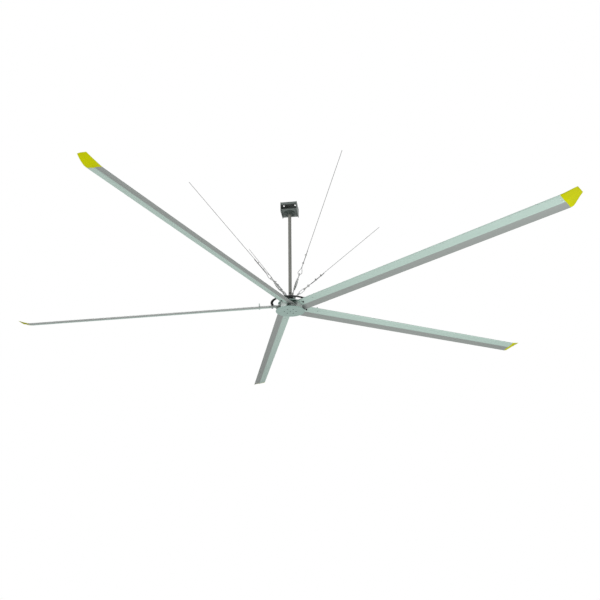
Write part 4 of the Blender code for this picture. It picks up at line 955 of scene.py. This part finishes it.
ring_bolt = hex_bolt(0.006, 0.018, 0.0075, seat - LOWER_FACE, 0.010, 0.0510 - seat)
for number, place in enumerate(BLADE_PLACES):
    spot = place @ SECTION @ Matrix.Translation((RING_PLACE, BOLT_CHORD, LOWER_FACE))
    fit(settle(twin(ring_bolt), spot), f"ring_bolt_{number + 1}", "rotor", "black_paint", black)
bpy.data.objects.remove(ring_bolt)


# Turnbuckles. A forged jaw is pinned to each lug, an open forged body turns on its screw, and an
# eye with its own screw takes the rope. All are zinc plated.

BODY_START = 0.070
BODY_LENGTH = 0.149
SCREW_RADIUS = 0.006
SCREW_PITCH = 0.00175
along_wire = Matrix.Rotation(math.pi / 2, 4, "Y")
cheek = arc(LUG_RADIUS, (0, 0), 90, 180, 17)
cheek += [(0.020, -LUG_RADIUS), (0.028, -0.0075), (0.028, 0.0075), (0.020, LUG_RADIUS)]
fork = slab([(x, -0.0093, z) for x, z in cheek], (0, 0.0186, 0))
throat = block((-0.03, -0.0043, -0.03), (0.0150, 0.0043, 0.03))
fork = soften(cut(fork, throat), 0.0012)
profile = [(0, -0.0145), (0.0046, -0.0145), (0.005, -0.0141), (0.005, 0.0095)]
profile += [(0.008, 0.0095), (0.008, 0.0118), (0.0074, 0.0124), (0, 0.0124)]
pin = moved(spun(profile, 32), Matrix.Rotation(-math.pi / 2, 4, "X"))
bent = [(-0.0075, 0.0), (0.006, 0.0), (0.0085, 0.0012), (0.0100, 0.0)]
split = sleeve([
    [point + Vector((0, a, b)) for a, b in arc(0.0010, (0, 0), 0, 300, 6)]
    for point in smooth_line([(x, -0.0121, z) for x, z in bent], 3)
])
screw = moved(thread(SCREW_RADIUS, 0.026, 0.106, SCREW_PITCH, 24), along_wire)
jaw = smooth(join([fork, pin, split, screw]))
for number in range(4):
    copy = settle(twin(jaw), guy_place(number))
    fit(copy, f"jaw_fork_{number + 1}", f"jaw_{number + 1}", "zinc_plate", zinc,
        f"guy_jaw_{number + 1}")
bpy.data.objects.remove(jaw)

side = [(0.0, 0.011), (0.022, 0.011), (0.028, 0.0135), (0.034, 0.0170), (0.040, 0.018)]
side += [(BODY_LENGTH - x, z) for x, z in reversed(side)]
hull = [(BODY_START + x, z) for x, z in side]
hull += [(x, -z) for x, z in reversed(hull)]
hole = [(0.024, 0.0072), (0.030, 0.0086), (0.036, 0.0096), (0.042, 0.010)]
hole += [(BODY_LENGTH - x, z) for x, z in reversed(hole)]
window = [(BODY_START + x, z) for x, z in hole]
window += [(x, -z) for x, z in reversed(window)]
body = slab([(x, -0.009, z) for x, z in hull], (0, 0.018, 0))
cut(body, slab([(x, -0.02, z) for x, z in window], (0, 0.04, 0)))
soften(body, 0.0035, 4, 40)
bore = moved(spun(((0, 0.06), (0.0063, 0.06), (0.0063, 0.23), (0, 0.23)), 32), along_wire)
cut(body, bore)
smooth(body, 40)
for number in range(4):
    copy = settle(twin(body), guy_place(number))
    fit(copy, f"open_body_{number + 1}", f"turnbuckle_{number + 1}", "zinc_plate", zinc,
        f"turnbuckle_body_{number + 1}")
bpy.data.objects.remove(body)

bpy.ops.object.select_all(action="DESELECT")
bpy.ops.mesh.primitive_torus_add(
    major_radius=0.0135, minor_radius=0.0045, major_segments=48, minor_segments=20,
)
upright = Matrix.Translation((0.278, 0, 0)) @ Matrix.Rotation(math.pi / 2, 4, "X")
eye = moved(bpy.context.object, upright)
shank = moved(thread(SCREW_RADIUS, 0.183, 0.248, SCREW_PITCH, 24), along_wire)
profile = [(0, 0.246), (0.0056, 0.246), (0.0058, 0.255), (0.0062, 0.2600), (0.0060, 0.2655)]
neck = moved(spun([*profile, (0, 0.2660)], 24), along_wire)
eye = smooth(join([eye, shank, neck]))
for number in range(4):
    copy = settle(twin(eye), guy_place(number))
    fit(copy, f"eye_bolt_{number + 1}", f"guy_{number + 1}", "zinc_plate", zinc,
        f"eye_screw_{number + 1}")
bpy.data.objects.remove(eye)
